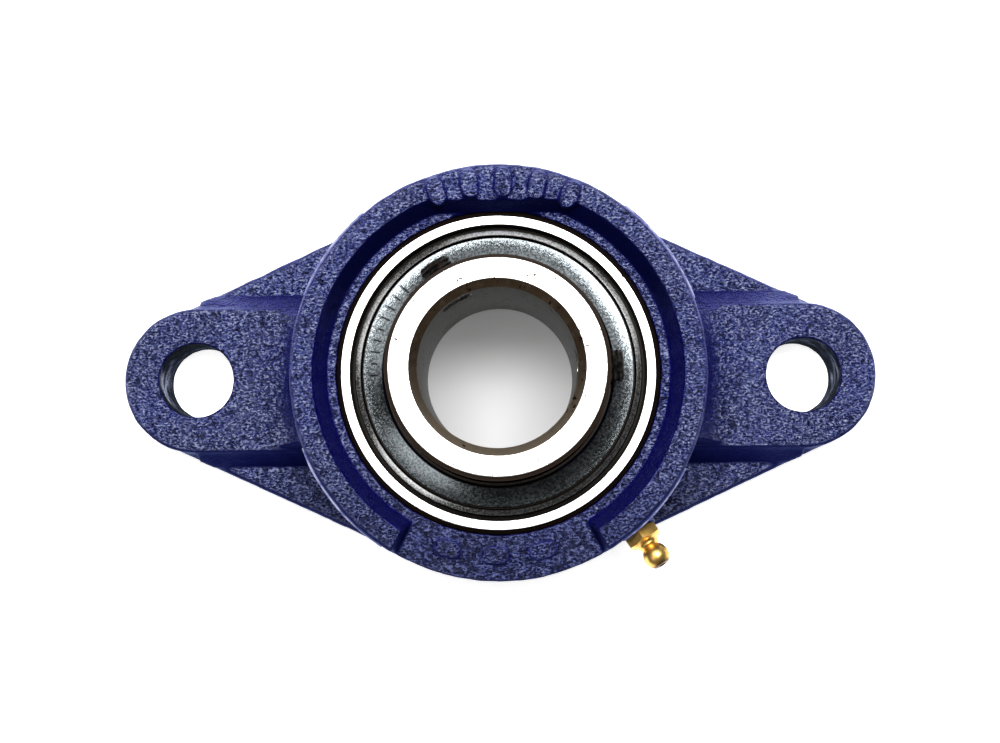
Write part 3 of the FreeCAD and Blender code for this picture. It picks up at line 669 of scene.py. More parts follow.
def cast_paint():
    """Dark blue enamel over sand-cast iron: a fine rough skin with painted glints on its level
    tops and painted shade in its hollows, on slopes facing -Y and in the bolt holes, bare iron
    where machined.
    """
    s = Shader("cast_paint", Specular_IOR_Level=1.0, IOR=1.5)
    s.surface.inputs["Specular Tint"].default_value = ENAMEL_SHEEN
    place = s.place()
    _, y, _ = s.split(place)
    _, normal_y, normal_z = s.split(s.node("NewGeometry").outputs["Normal"])

    # Where the skin lies: level tops, their low end, slopes, holes and machined faces. The low
    # end, towards -Y, takes painted shade: fewer glints and more dark pits.
    up = s.band(normal_z, 0.76, 0.965)
    flank = s.minus(1.0, up)
    low_side_shade = s.band(y, -5.0, -38.0)
    bare = machined_mask(s, place)
    hole = bolt_hole_mask(s, place)
    shaded = s.most(s.times(flank, s.band(normal_y, 0.05, -0.45)), hole)

    # The skin's grain, from fine to broad. Hollows are where it is lowest; they take painted
    # shade, more of it towards -Y.
    grit = s.noise(s.stretch(place, (0.78, 1.25, 1.0)), 0.46, detail=2.0, rough=0.65)
    lumps = s.noise(s.offset(place, (5.0, 9.0, 2.0)), 1.15, detail=2.0, rough=0.55, twist=0.6)
    swell = s.noise(place, 4.5, detail=2.0)
    level = s.times(low_side_shade, 0.065)
    pits = s.band(s.minus(grit, level), 0.48, 0.40)
    troughs = s.times(s.band(s.minus(lumps, level), 0.42, 0.32), 0.8)
    hollow = s.times(s.most(pits, troughs), s.band(up, 0.0, 1.0, 0.4, 0.97))
    # Painted glints: pale lavender on the crests of level tops, fewer towards -Y.
    crest = s.times(s.band(grit, 0.52, 0.60), s.band(lumps, 0.42, 0.58, 0.25, 1.0),
                    up, s.band(low_side_shade, 0.0, 1.0, 1.0, 0.2))

    patches = s.noise(place, 11.0, detail=3.0)
    colour = s.blend(s.band(patches, 0.35, 0.65), ENAMEL_DARK, ENAMEL_LIGHT)
    colour = s.blend(up, ENAMEL_FLANK, colour)
    colour = s.blend(crest, colour, ENAMEL_GLINT)
    colour = s.blend(hollow, colour, ENAMEL_HOLLOW_SHADE)
    # Painted shade: slopes facing -Y go dark, and the bolt holes' walls go near-black.
    colour = s.blend(shaded, colour, ENAMEL_SHADED)
    colour = s.blend(hole, colour, ENAMEL_HOLE_SHADE)
    iron = s.blend(s.noise(place, 0.6, detail=3.0), IRON_DARK, IRON_LIGHT)
    s.coat("Base Color", s.blend(bare, colour, iron))

    s.coat("Metallic", s.most(s.times(hollow, 0.8), s.times(flank, 0.6),
                              s.times(shaded, 0.95), s.times(bare, 0.85)))
    gloss = s.band(s.noise(place, 2.2, detail=2.0), 0.3, 0.7, 0.18, 0.28)
    gloss = s.math("ADD", gloss, s.times(low_side_shade, 0.12))
    s.coat("Roughness", s.most(gloss, s.times(shaded, 0.6), hole))

    cast = s.minus(1.0, bare)
    skin = s.times(cast, s.most(s.band(up, 0.0, 1.0, 0.3, 1.0), s.times(hole, 2.5)))
    broad = s.bump(s.times(swell, cast), 0.40, 0.7)
    middle = s.bump(s.times(lumps, skin), 0.50, 1.0, broad)
    s.coat("Normal", s.bump(s.times(grit, skin), 0.48, 1.0, middle))
    return s.material


def flash_paint():
    """Thin paint on the casting's parting line, in dark and pale blue patches."""
    s = Shader("flash_paint")
    flash_tone = s.noise(s.place(), 1.5, detail=3.0)
    s.coat("Base Color", s.blend(s.band(flash_tone, 0.35, 0.65), FLASH_DARK, FLASH_PALE))
    s.coat("Roughness", s.band(flash_tone, 0.3, 0.7, 0.25, 0.40))
    return s.material


def outer_steel():
    """The outer ring: ground steel with fine circles, dark oil and painted shade outside and
    under its face.
    """
    s = Shader("outer_steel", Metallic=1.0)
    place = s.place()
    radius = s.radius(place)
    lines = s.rings(place, 0.12, twist=0.6)
    blotch = s.noise(place, 3.5, detail=4.0, rough=0.6)
    spots = s.noise(s.offset(place, (7.0, 3.0, 0.0)), 0.9, detail=3.0, rough=0.6)
    stain = s.times(s.band(blotch, 0.62, 0.70), s.band(spots, 0.50, 0.62))
    steel = s.blend(blotch, OUTER_STEEL_DARK, OUTER_STEEL_LIGHT)
    steel = s.blend(stain, steel, OUTER_STAIN)
    # Painted shade, with some oil: dark at the outer edge of the face, next to the housing, and
    # in the mouth next to the seal.
    rim = s.band(radius, OUTER_FACE_R - 0.02, OUTER_FACE_R + 0.12)
    throat = s.band(radius, OUTER_MOUTH_R + 0.12, OUTER_MOUTH_R - 0.02)
    dirt_and_shade = s.most(rim, throat)
    s.coat("Base Color", s.blend(dirt_and_shade, steel, OUTER_OIL_AND_SHADE))
    s.coat("Roughness", s.most(s.band(blotch, 0.3, 0.7, 0.24, 0.34), s.times(dirt_and_shade, 0.6)))
    s.coat("Normal", s.bump(lines, 0.008, 0.35))
    return s.material


def inner_steel():
    """The inner ring: ground faces, a bore wall darkened by painted shade, an oily brown bore lip
    with painted light and shade, painted shade on its outer chamfer, and small stains.
    """
    s = Shader("inner_steel", Metallic=1.0)
    place = s.place()
    _, y, z = s.split(place)
    radius = s.radius(place)
    mouth_r = BORE_R + BORE_CHAMFER
    face_r = INNER_R - INNER_EDGE
    lines = s.rings(place, 0.14, twist=0.5)
    blotch = s.noise(place, 3.0, detail=4.0, rough=0.6)
    smear = s.noise(s.stretch(place, (1, 1, 0.35)), 1.6, detail=4.0, rough=0.65)
    specks = s.noise(s.offset(place, (3.0, 8.0, 1.0)), 0.7, detail=2.0, rough=0.6)

    wall = s.band(radius, BORE_R + 0.12, BORE_R + 0.03)
    lip = s.times(s.band(radius, mouth_r + 0.05, mouth_r - 0.12),
                  s.band(z, INNER_HIGH.z - 1.65, INNER_HIGH.z - 1.4),
                  s.band(smear, 0.2, 0.5, 0.84, 0.97))
    # Painted shade on the outer chamfer between the front face and the outside; the spots and
    # drops below are stains.
    edge = s.times(s.band(radius, face_r - 0.02, face_r + 0.15),
                   s.band(z, BEARING_Z + INNER_LAND_Z, BEARING_Z + INNER_LAND_Z + 1.0))
    spots = s.times(s.band(blotch, 0.57, 0.62), s.band(specks, 0.55, 0.60))
    drops = s.times(s.band(specks, 0.66, 0.71), wall)
    dirt_and_shade = s.most(edge, spots, drops)

    steel = s.blend(blotch, INNER_STEEL_DARK, INNER_STEEL_LIGHT)
    # Painted shade: the bore wall is a darker grey than the faces.
    bore_shade = s.blend(specks, BORE_SHADE_DARK, BORE_SHADE_LIGHT)
    # The lip's oil is brown, painted darker towards +Y and lighter towards -Y: painted light and
    # shade.
    oil = s.blend(s.band(y, 4.0, -14.0), LIP_OIL_SHADED, LIP_OIL_LIT)
    colour = s.blend(lip, s.blend(wall, steel, bore_shade), oil)
    s.coat("Base Color", s.blend(dirt_and_shade, colour, INNER_DIRT_AND_SHADE))
    rough = s.band(s.most(dirt_and_shade, lip), 0.0, 1.0, 0.27, 0.42)
    s.coat("Roughness", s.most(rough, s.times(wall, 0.68)))
    s.coat("Normal", s.bump(lines, 0.01, 0.35))
    return s.material


def sheet_steel(name, light, dark, stripes):
    """A shader for pressed sheet steel, with its coordinates and its clean colour."""
    s = Shader(name, Metallic=1.0)
    place = s.place()
    mottle = s.noise(place, 0.40, detail=2.0, rough=0.6)
    cloud = s.noise(place, 6.0, detail=2.0)
    tone = s.math("ADD", s.times(mottle, 0.8), s.times(cloud, 0.2))
    lines = s.rings(place, 0.2, twist=0.4)
    s.coat("Roughness", s.band(mottle, 0.3, 0.7, 0.14, 0.22))
    s.coat("Normal", s.bump(s.math("ADD", mottle, s.times(lines, stripes)), 0.015, 0.5))
    return s, place, s.blend(s.band(tone, 0.40, 0.60), dark, light)


def slinger_steel():
    """Blued flinger: painted shade in its ticks, on its rolled edge and against the inner ring.
    """
    s, place, colour = sheet_steel("slinger_steel", SLINGER_LIGHT, SLINGER_DARK, 0.3)
    radius = s.radius(place)
    edge = s.band(radius, SLINGER_R - 0.25, SLINGER_R - 0.05)
    collar = s.band(radius, SLINGER_COLLAR_R + 0.6, SLINGER_COLLAR_R + 0.3)
    cone_apex = BEARING_Z + SLINGER_FRONT + CONE_SLOPE * CONE_R_OUT
    cone = s.minus(cone_apex, s.times(radius, CONE_SLOPE))
    sunk = s.band(s.minus(cone, s.split(place)[2]), 0.08, 0.2, 0.0, 0.8)
    # Painted shade, near-black, in the ticks, on the rolled edge and next to the inner ring.
    s.coat("Base Color", s.blend(s.most(sunk, edge, collar), colour, SLINGER_SHADE))
    return s.material


def seal_steel():
    """Seal carrier: its bead bare, oil and painted shade in the grooves on both sides of it."""
    s, place, colour = sheet_steel("seal_steel", SEAL_LIGHT, SEAL_DARK, 0.5)
    middle = (SEAL_BEAD_R_IN + SEAL_BEAD_R_OUT) / 2
    half = (SEAL_BEAD_R_OUT - SEAL_BEAD_R_IN) / 2
    off_bead = s.math("ABSOLUTE", s.minus(s.radius(place), middle))
    # Painted shade, with some oil, in the grooves either side of the bead.
    dirt_and_shade = s.band(off_bead, half - 0.25, half - 0.10)
    s.coat("Base Color", s.blend(dirt_and_shade, colour, SEAL_OIL_AND_SHADE))
    return s.material


def turned_brass():
    """Machined yellow brass with tool lines and a dirty tip."""
    s = Shader("turned_brass", Metallic=1.0)
    place = s.place()
    along = s.split(place)[2]
    lines = s.noise(s.stretch(place, (0.2, 0.2, 9.0)), 1.0, detail=2.0)
    tarnish = s.noise(place, 1.2, detail=3.0, rough=0.6)
    brass = s.blend(s.band(tarnish, 0.4, 0.7), BRASS_LIGHT, BRASS_DARK)
    tip = s.times(s.band(along, NIPPLE_TIP - 0.75, NIPPLE_TIP - 0.1),
                  s.band(tarnish, 0.25, 0.45, 0.6, 0.95))
    s.coat("Base Color", s.blend(tip, brass, BRASS_DIRT))
    s.coat("Roughness", s.band(tarnish, 0.3, 0.7, 0.32, 0.44))
    s.coat("Normal", s.bump(lines, 0.02, 0.4))
    return s.material


def black_oxide():
    """Blackened screw steel with a thin oil film."""
    s = Shader("black_oxide", Metallic=0.8)
    mottle = s.noise(s.place(), 0.8, detail=3.0)
    s.coat("Base Color", s.blend(s.band(mottle, 0.4, 0.7), OXIDE_DARK, OXIDE_LIGHT))
    s.coat("Roughness", s.band(mottle, 0.3, 0.7, 0.30, 0.45))
    s.coat("Normal", s.bump(mottle, 0.02, 0.3))
    return s.material


def seal_rubber():
    """Black nitrile rubber with a little bloom."""
    s = Shader("seal_rubber")
    bloom = s.noise(s.place(), 1.4, detail=3.0)
    s.coat("Base Color", s.blend(bloom, RUBBER_DARK, RUBBER_LIGHT))
    s.coat("Roughness", s.band(bloom, 0.3, 0.7, 0.55, 0.75))
    s.coat("Normal", s.bump(bloom, 0.02, 0.3))
    return s.material


def polished_steel(name, colour, rough):
    """Bearing-ball or pressed-cage steel with a film of grease."""
    s = Shader(name, Metallic=1.0)
    film = s.noise(s.place(), 2.0, detail=3.0)
    greased = tuple(channel * 0.86 for channel in colour)
    s.coat("Base Color", s.blend(s.band(film, 0.35, 0.65), greased, colour))
    s.coat("Roughness", s.band(film, 0.3, 0.7, rough, rough + 0.1))
    s.coat("Normal", s.bump(film, 0.01, 0.2))
    return s.material


def pale_floor():
    """Plain matt white floor, shaded below the bore."""
    s = Shader("pale_floor", Roughness=0.9)
    s.surface.inputs["Emission Color"].default_value = WHITE
    place = s.place()
    white = s.blend(s.noise(place, 90.0, detail=1.0), FLOOR_DARK, FLOOR_LIGHT)
    outside = s.band(s.length(place), *SHADE_R)
    s.coat("Base Color", s.blend(outside, FLOOR_SHADE, white))
    s.coat("Emission Strength", s.band(outside, 0.0, 1.0, 0.10, 0.78))
    return s.material


# ---- Pieces ----

def stand_in(piece, node, body, material, angle=SHARP_ANGLE):
    """Finish a piece that replaces one CAD node: its material, shading and body."""
    piece.data.materials.clear()
    piece.data.materials.append(MATERIALS[material])
    smooth(piece, angle)
    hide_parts(node)
    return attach(piece, body)


# ---- Housing ----

def cast_relief(points):
    """How far each point of the casting lies below its ideal surface, in millimetres."""
    layers = zip(RELIEF_SIZES, RELIEF_SEEDS)
    depth = sum(RELIEF_DEPTH * soft_noise(points, size, seed) for size, seed in layers)
    from_seat = np.linalg.norm(points - np.array([0, 0, BEARING_Z]), axis=1)
    off_seat = np.clip((from_seat - SEAT_R - RELIEF_FADE / 2) / RELIEF_FADE, 0, 1)
    off_back = np.clip((points[:, 2] - MACHINED_Z) / RELIEF_FADE, 0, 1)
    return depth * off_seat * off_back


def even_copy(source, name):
    """A copy of a CAD node with small even faces and softened edges."""
    mesh = source.data.copy()
    tidy(mesh)
    piece = link(name, mesh)
    remesh = piece.modifiers.new("even", "REMESH")
    remesh.mode = "VOXEL"
    remesh.voxel_size = CASTING_VOXEL * MM
    snap = piece.modifiers.new("snap", "SHRINKWRAP")
    snap.wrap_method = "NEAREST_SURFACEPOINT"
    snap.target = source
    soften = piece.modifiers.new("soften", "SMOOTH")
    soften.factor = CASTING_SMOOTH_FACTOR
    soften.iterations = CASTING_SMOOTH_STEPS
    return applied(piece)


def sink(mesh, relief):
    """Move a mesh's points inwards along their normals, by a relief worked out at each."""
    count = len(mesh.vertices)
    flat = np.empty(count * 3)
    mesh.vertices.foreach_get("co", flat)
    points = flat.reshape(-1, 3) / MM
    normals = np.empty(count * 3)
    mesh.vertex_normals.foreach_get("vector", normals)
    moved = points - normals.reshape(-1, 3) * relief(points)[:, None]
    moved[:, 2] = np.maximum(moved[:, 2], 0.0)
    mesh.vertices.foreach_set("co", (moved * MM).ravel())


def housing_casting():
    """The casting: the CAD housing remeshed finely, its edges softened, its skin cast."""
    piece = even_copy(frame["nodes"]["housing"], "housing_casting")
    sink(piece.data, cast_relief)
    return stand_in(piece, "housing", "housing", "cast_paint",
                    CASTING_SHARP_ANGLE)


def flash_section(turn, taper):
    """Three points across the parting line's ridge: two at its root and its crest."""
    wobble = sum(size * math.sin(waves * turn) for size, waves in FLASH_WOBBLE)
    radius = BOSS_TOP_R + FLASH_PROUD + wobble
    height = RIM_Z - BOSS_EDGE_R - FLASH_DROP
    root = radius - FLASH_ROOT
    crest = radius + FLASH_HALF * taper
    section = ((root, height - FLASH_HALF), (crest, height), (root, height + FLASH_HALF))
    return [(r * math.cos(turn), r * math.sin(turn), z) for r, z in section]


def parting_flash():
    """Thin ridges left by the mould's parting line round the top of the boss."""
    points = []
    faces = []
    for start, end in FLASH_ARCS:
        steps = int((end - start) * FLASH_STEPS_PER_DEGREE)
        first = len(points)
        last = first + 3 * steps
        for i in range(steps + 1):
            share = i / steps
            turn = math.radians(start + (end - start) * share)
            taper = min(1.0, FLASH_TAPER * share, FLASH_TAPER * (1 - share))
            points += flash_section(turn, taper)
        for here in range(first, last, 3):
            for a, b in ((0, 1), (1, 2), (2, 0)):
                faces.append((here + a, here + b, here + 3 + b, here + 3 + a))
        faces.append((first, first + 1, first + 2))
        faces.append((last, last + 2, last + 1))
    piece = link("parting_line_flash", make_mesh("parting_line_flash", points, faces))
    piece.data.materials.append(MATERIALS["flash_paint"])
    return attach(piece, "housing")


# ---- Bearing pieces ----

def outer_ring_side(side, sphere_turn):
    """Corners from the race to the sphere, above the mid plane (1) or below it (-1)."""
    web_low = BEARING_Z + side * SEAL_WEB_LOW
    web_high = BEARING_Z + side * SEAL_WEB_HIGH
    face = OUTER_HIGH.z if side > 0 else OUTER_LOW.z
    sphere = (0, BEARING_Z)
    return [
        (OUTER_SHOULDER_R, web_low - side * OUTER_SHOULDER_LAND),
        (OUTER_SHOULDER_R, web_low),
        (SEAL_WEB_R, web_low),
        (SEAL_WEB_R, web_high),
        (OUTER_MOUTH_R, web_high),
        (OUTER_MOUTH_R, face),
        (OUTER_FACE_R, face),
        on_circle(sphere, OUTER_SPHERE_R, side * sphere_turn),
        on_circle(sphere, OUTER_SPHERE_R, side * (sphere_turn - OUTER_CORNER_TURN)),
    ]


def outer_ring():
    """Outer ring with its sphere, race, seal seats and softened corners."""
    sphere = (0, BEARING_Z)
    half = (OUTER_HIGH.z - OUTER_LOW.z) / 2
    edge_turn = math.degrees(math.asin((half - OUTER_CHAMFER_Z) / OUTER_SPHERE_R))
    start_turn = edge_turn - OUTER_SPHERE_TURN
    groove_low, groove_high = GREASE_GROOVE
    low_turn = math.degrees(math.asin((groove_low - BEARING_Z) / OUTER_SPHERE_R))
    high_turn = math.degrees(math.asin((groove_high - BEARING_Z) / OUTER_SPHERE_R))
    race_centre = (PITCH_R + BALL_R + RACE_CLEARANCE - RACE_R, BEARING_Z)
    race_turn = math.degrees(math.acos((OUTER_SHOULDER_R - race_centre[0]) / RACE_R))
    outline = rounded(outer_ring_side(1, edge_turn), OUTER_CORNER_R, closed=False)
    outline += arc(sphere, OUTER_SPHERE_R, start_turn, high_turn, OUTER_STEPS_ABOVE_GROOVE)
    outline += [(GREASE_GROOVE_R, groove_high), (GREASE_GROOVE_R, groove_low)]
    outline += arc(sphere, OUTER_SPHERE_R, low_turn, -start_turn, OUTER_STEPS_BELOW_GROOVE)
    outline += rounded(outer_ring_side(-1, edge_turn)[::-1], OUTER_CORNER_R, closed=False)
    outline += arc(race_centre, RACE_R, -race_turn, race_turn, RACE_STEPS)
    ring = lathe("outer_ring_steel", outline)
    return stand_in(ring, "outer_ring", "outer_ring", "outer_steel")


def screw_frame(angle):
    """Matrix that takes +Z to the outward direction at an angle, at the screws' height."""
    turn = Matrix.Rotation(math.radians(angle), 4, "Z")
    lean = Matrix.Rotation(math.radians(90), 4, "Y")
    height = INNER_HIGH.z - SCREW_FROM_END
    return Matrix.Translation((0, 0, height * MM)) @ turn @ lean


def inner_ring():
    """Inner ring with its race, chamfers and two tapped holes."""
    high, low = INNER_HIGH.z, INNER_LOW.z
    mouth_r = BORE_R + BORE_CHAMFER
    face_r = INNER_R - INNER_EDGE
    race_centre = (PITCH_R - BALL_R - RACE_CLEARANCE + RACE_R, BEARING_Z)
    race_turn = math.degrees(math.acos((race_centre[0] - INNER_R) / RACE_R))
    outline = rounded([
        (INNER_R, BEARING_Z + INNER_LAND_Z),
        (INNER_R, high - INNER_EDGE),
        (face_r, high),
        (mouth_r, high),
        (BORE_R, high - BORE_CHAMFER),
        (BORE_R, BEARING_Z),
        (BORE_R, low + BORE_CHAMFER),
        (mouth_r, low),
        (face_r, low),
        (INNER_R, low + INNER_EDGE),
        (INNER_R, BEARING_Z - INNER_LAND_Z),
    ], INNER_CORNER_R, closed=False)
    outline += arc(race_centre, RACE_R, 180 + race_turn, 180 - race_turn, RACE_STEPS)
    ring = lathe("inner_ring_steel", outline)
    for angle in SCREW_ANGLES:
        tap = threaded_rod("tap", TAP_R, TAP_THREAD_DEPTH,
                           BORE_R - TAP_SPARE_IN, INNER_R + CUT_SPARE)
        placed(tap, screw_frame(angle))
        combine(ring, tap, "DIFFERENCE")
    return stand_in(ring, "inner_ring", "inner_ring", "inner_steel",
                    FINE_SHARP_ANGLE)


def slinger(node, name, is_rear):
    """Conical flinger with a rolled edge, and on the front one small pressed ticks."""
    back = BEARING_Z + SLINGER_BACK
    front = BEARING_Z + SLINGER_FRONT
    hem_r = SLINGER_R - SLINGER_HEM_WIDTH
    collar_top = front + SLINGER_RISE + SLINGER_COLLAR_HEIGHT
    piece = lathe(name, rounded([
        (INNER_R, back + SLINGER_RISE),
        (CONE_R_IN, back + SLINGER_RISE),
        (hem_r, back),
        (hem_r, back - SLINGER_HEM_DEPTH),
        (SLINGER_R, back - SLINGER_HEM_DEPTH),
        (SLINGER_R, front),
        (CONE_R_OUT, front),
        (CONE_R_IN, front + SLINGER_RISE),
        (SLINGER_COLLAR_R, collar_top),
        (INNER_R, collar_top),
    ], SLINGER_CORNER_R))
    if is_rear:
        turned_over(piece)
    else:
        for tick in slinger_ticks(front + TICK_RISE):
            combine(piece, tick, "DIFFERENCE")
    return stand_in(piece, node, "inner_ring", "slinger_steel")


def slinger_ticks(height):
    """A row of plain short strokes along the cone, in place of a pressed code."""
    lean = Matrix.Rotation(math.atan(CONE_SLOPE), 4, "Y")
    out = Matrix.Translation((TICK_R * MM, 0, height * MM))
    ticks = []
    for i in range(TICK_COUNT):
        spin = Matrix.Rotation(math.radians(TICK_START + TICK_PITCH * i), 4, "Z")
        tick = brick("tick", TICK_LENGTHS[i % len(TICK_LENGTHS)], TICK_WIDTH, 2 * TICK_DEPTH)
        ticks.append(placed(tick, spin @ out @ lean))
    return ticks


def seal_carrier(node, name, is_rear):
    """Pressed seal ring with its sloping bead."""
    low = BEARING_Z + SEAL_WEB_LOW
    high = BEARING_Z + SEAL_WEB_HIGH
    top = BEARING_Z + SEAL_BEAD_HIGH
    piece = lathe(name, rounded([
        (SEAL_WEB_BORE_R, low),
        (SEAL_WEB_R, low),
        (SEAL_WEB_R, high),
        (SEAL_BEAD_R_OUT, high),
        (SEAL_BEAD_R_OUT, top - SEAL_BEAD_FALL),
        (SEAL_BEAD_R_IN, top),
        (SEAL_BEAD_R_IN, high),
        (SEAL_WEB_BORE_R, high),
    ], SEAL_CORNER_R))
    if is_rear:
        turned_over(piece)
    return stand_in(piece, node, "outer_ring", "seal_steel")


def plug(name, outline, segments=SMALL_SEGMENTS):
    """A solid of revolution whose outline starts and ends on the axis."""
    return lathe(name, outline, closed=False, segments=segments)


def set_screw(index):
    """Threaded screw with a hexagon socket and a cup point."""
    low = SCREW_OUTER_R - SCREW_LENGTH
    high = SCREW_OUTER_R
    side_r = SCREW_R + SCREW_SPARE
    screw = threaded_rod("screw", SCREW_R, SCREW_THREAD_DEPTH, low, high)
    combine(screw, plug("taper", [
        (0, low),
        (SCREW_POINT_R, low),
        (side_r, low + SCREW_POINT_LENGTH),
        (side_r, high - SCREW_TOP_BEVEL),
        (SCREW_TOP_R, high),
        (0, high),
    ]), "INTERSECT")
    socket = hexagon_prism("socket", SCREW_SOCKET_WIDTH,
                           high - SCREW_SOCKET_DEPTH, high + CUT_SPARE)
    combine(screw, socket, "DIFFERENCE")
    cup_low = low - SCREW_CUP_START
    cup = plug("cup", [(0, cup_low), (SCREW_CUP_R, cup_low), (0, low + SCREW_CUP_DEPTH)])
    combine(screw, cup, "DIFFERENCE")
    placed(screw, screw_frame(SCREW_ANGLES[index]))
    node = f"set_screw_{index + 1}"
    screw.name = node + "_black"
    return stand_in(screw, node, node, "black_oxide", FINE_SHARP_ANGLE)


# ---- Grease nipple ----

def nipple_matrix():
    """Takes the nipple's own frame, +Z out along its axis, to its place."""
    turn = math.radians(NIPPLE_ANGLE)
    seat = Vector((NIPPLE_SEAT_R * math.cos(turn), NIPPLE_SEAT_R * math.sin(turn), NIPPLE_SEAT_Z))
    swing = Matrix.Rotation(math.radians(NIPPLE_AIM), 4, "Z")
    lean = Matrix.Rotation(math.radians(90 - NIPPLE_TILT), 4, "Y")
    return Matrix.Translation(seat * MM) @ swing @ lean


def nipple_shank():
    """Outline of the threaded shank, from its end up to the inside of the hexagon."""
    end = -NIPPLE_SHANK_LENGTH
    outline = [
        (NIPPLE_SHANK_R - NIPPLE_END_BEVEL, end),
        (NIPPLE_SHANK_R - NIPPLE_END_STEP, end + NIPPLE_END_BEVEL),
    ]
    for i in range(NIPPLE_THREAD_TURNS):
        z = NIPPLE_THREAD_START + NIPPLE_THREAD_PITCH * i
        outline.append((NIPPLE_SHANK_R, z))
        outline.append((NIPPLE_ROOT_R, z + NIPPLE_THREAD_PITCH / 2))
    outline.append((NIPPLE_ROOT_R, NIPPLE_THREAD_END))
    outline.append((NIPPLE_ROOT_R, NIPPLE_CORE_Z))
    outline.append((NIPPLE_CORE_R, NIPPLE_CORE_Z))
    outline.append((NIPPLE_CORE_R, NIPPLE_HEX_HEIGHT - NIPPLE_CORE_Z))
    return outline


def nipple_head():
    """Outline of the waist and the ball-shaped head, up to its flat tip."""
    centre = (0, NIPPLE_HEAD_CENTRE)
    tip_height = NIPPLE_TIP - NIPPLE_HEAD_CENTRE
    tip_turn = math.degrees(math.asin(tip_height / NIPPLE_HEAD_R))
    tip_r = math.sqrt(NIPPLE_HEAD_R ** 2 - tip_height ** 2)
    waist = [(r, NIPPLE_HEX_HEIGHT + rise) for r, rise in NIPPLE_WAIST]
    waist.append(on_circle(centre, NIPPLE_HEAD_R, NIPPLE_NECK_TURN))
    ball = arc(centre, NIPPLE_HEAD_R, NIPPLE_BALL_TURN, tip_turn - NIPPLE_TIP_TURN,
               NIPPLE_BALL_STEPS)
    return waist + ball + [(tip_r - NIPPLE_TIP_EDGE, NIPPLE_TIP)]


def nipple_passage():
    """Outline of the grease passage, from the inlet down past the check ball's chamber."""
    funnel = NIPPLE_CHAMBER_END + NIPPLE_CHAMBER_R - NIPPLE_INLET_R
    return [
        (NIPPLE_INLET_R + NIPPLE_INLET_EDGE, NIPPLE_TIP),
        (NIPPLE_INLET_R, NIPPLE_TIP - NIPPLE_INLET_EDGE),
        (NIPPLE_INLET_R, funnel),
        (NIPPLE_CHAMBER_R, NIPPLE_CHAMBER_END),
        (NIPPLE_CHAMBER_R, NIPPLE_CHAMBER_START),
        (NIPPLE_OUTLET_R, NIPPLE_CHAMBER_START),
        (NIPPLE_OUTLET_R, -NIPPLE_SHANK_LENGTH),
    ]


def nipple_hexagon():
    """The hexagon, its corners turned off at both ends, hollow round the shank."""
    top = NIPPLE_HEX_HEIGHT
    corner_r = NIPPLE_HEX_WIDTH / math.sqrt(3)
    foot_cut, foot_height = NIPPLE_HEX_FOOT
    top_cut, top_height = NIPPLE_HEX_TOP
    piece = hexagon_prism("hexagon", NIPPLE_HEX_WIDTH, 0, top, NIPPLE_HEX_TURN)
    combine(piece, plug("round_off", [
        (0, 0),
        (corner_r - foot_cut, 0),
        (corner_r, foot_height),
        (corner_r + NIPPLE_HEX_SLACK, top - top_height),
        (corner_r - top_cut, top),
        (0, top),
    ], NIPPLE_SEGMENTS), "INTERSECT")
    combine(piece, plug("core", [
        (0, -CUT_SPARE),
        (NIPPLE_HEX_CORE_R, -CUT_SPARE),
        (NIPPLE_HEX_CORE_R, top + CUT_SPARE),
        (0, top + CUT_SPARE),
    ], NIPPLE_SEGMENTS), "DIFFERENCE")
    edge = piece.modifiers.new("edge", "BEVEL")
    edge.width = NIPPLE_HEX_EDGE * MM
    edge.segments = 2
    edge.limit_method = "ANGLE"
    edge.angle_limit = math.radians(25)
    return applied(piece)


def join(piece, other):
    """Add another piece's mesh to a piece, and remove the other piece."""
    joined = bmesh.new()
    joined.from_mesh(piece.data)
    joined.from_mesh(other.data)
    joined.to_mesh(piece.data)
    joined.free()
    bpy.data.objects.remove(other)
    return piece


def nipple():
    """Brass nipple: threaded shank, chamfered hexagon, neck and ball-shaped head."""
    outline = nipple_shank() + nipple_head() + nipple_passage()
    piece = lathe("grease_nipple_brass", outline, segments=NIPPLE_SEGMENTS)
    join(piece, nipple_hexagon())
    piece.matrix_world = nipple_matrix()
    return stand_in(piece, "grease_nipple_body", "housing", "turned_brass",
                    FINE_SHARP_ANGLE)


# ---- CAD pieces that keep their shape ----

def dress_cad_nodes():
    """Give each CAD piece that still shows its own worked material."""
    dress = {
        "front_seal_lip": "seal_rubber",
        "rear_seal_lip": "seal_rubber",
        "cage_front_half": "cage_steel",
        "cage_rear_half": "cage_steel",
        "cage_rivets": "cage_steel",
        "nipple_check_ball": "ball_steel",
        "nipple_spring": "cage_steel",
    }
    for name in frame["nodes"]:
        if name.startswith("ball_"):
            dress[name] = "ball_steel"
    for name, material in dress.items():
        for slot in frame["nodes"][name].material_slots:
            slot.material = MATERIALS[material]


# ---- Stage ----

def floor():
    """Plain pale floor under the mounting face."""
    corners = ((-1, -1), (1, -1), (1, 1), (-1, 1))
    points = [(x * FLOOR_HALF, y * FLOOR_HALF, -FLOOR_DROP) for x, y in corners]
    plane = link("floor", make_mesh("floor", points, [(0, 1, 2, 3)]))
    plane.data.materials.append(MATERIALS["pale_floor"])
    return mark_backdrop(plane)


def area_light(name, place_m, aim_m, size_m, power):
    """A rectangular soft white light, aimed at a point."""
    data = bpy.data.lights.new(name, "AREA")
    data.shape = "RECTANGLE"
    data.size, data.size_y = size_m
    data.energy = power
    lamp = bpy.data.objects.new(name, data)
    lamp.location = place_m
    direction = Vector(aim_m) - Vector(place_m)
    lamp.rotation_mode = "QUATERNION"
    lamp.rotation_quaternion = direction.to_track_quat("-Z", "Y")
    bpy.context.scene.collection.objects.link(lamp)
    return lamp


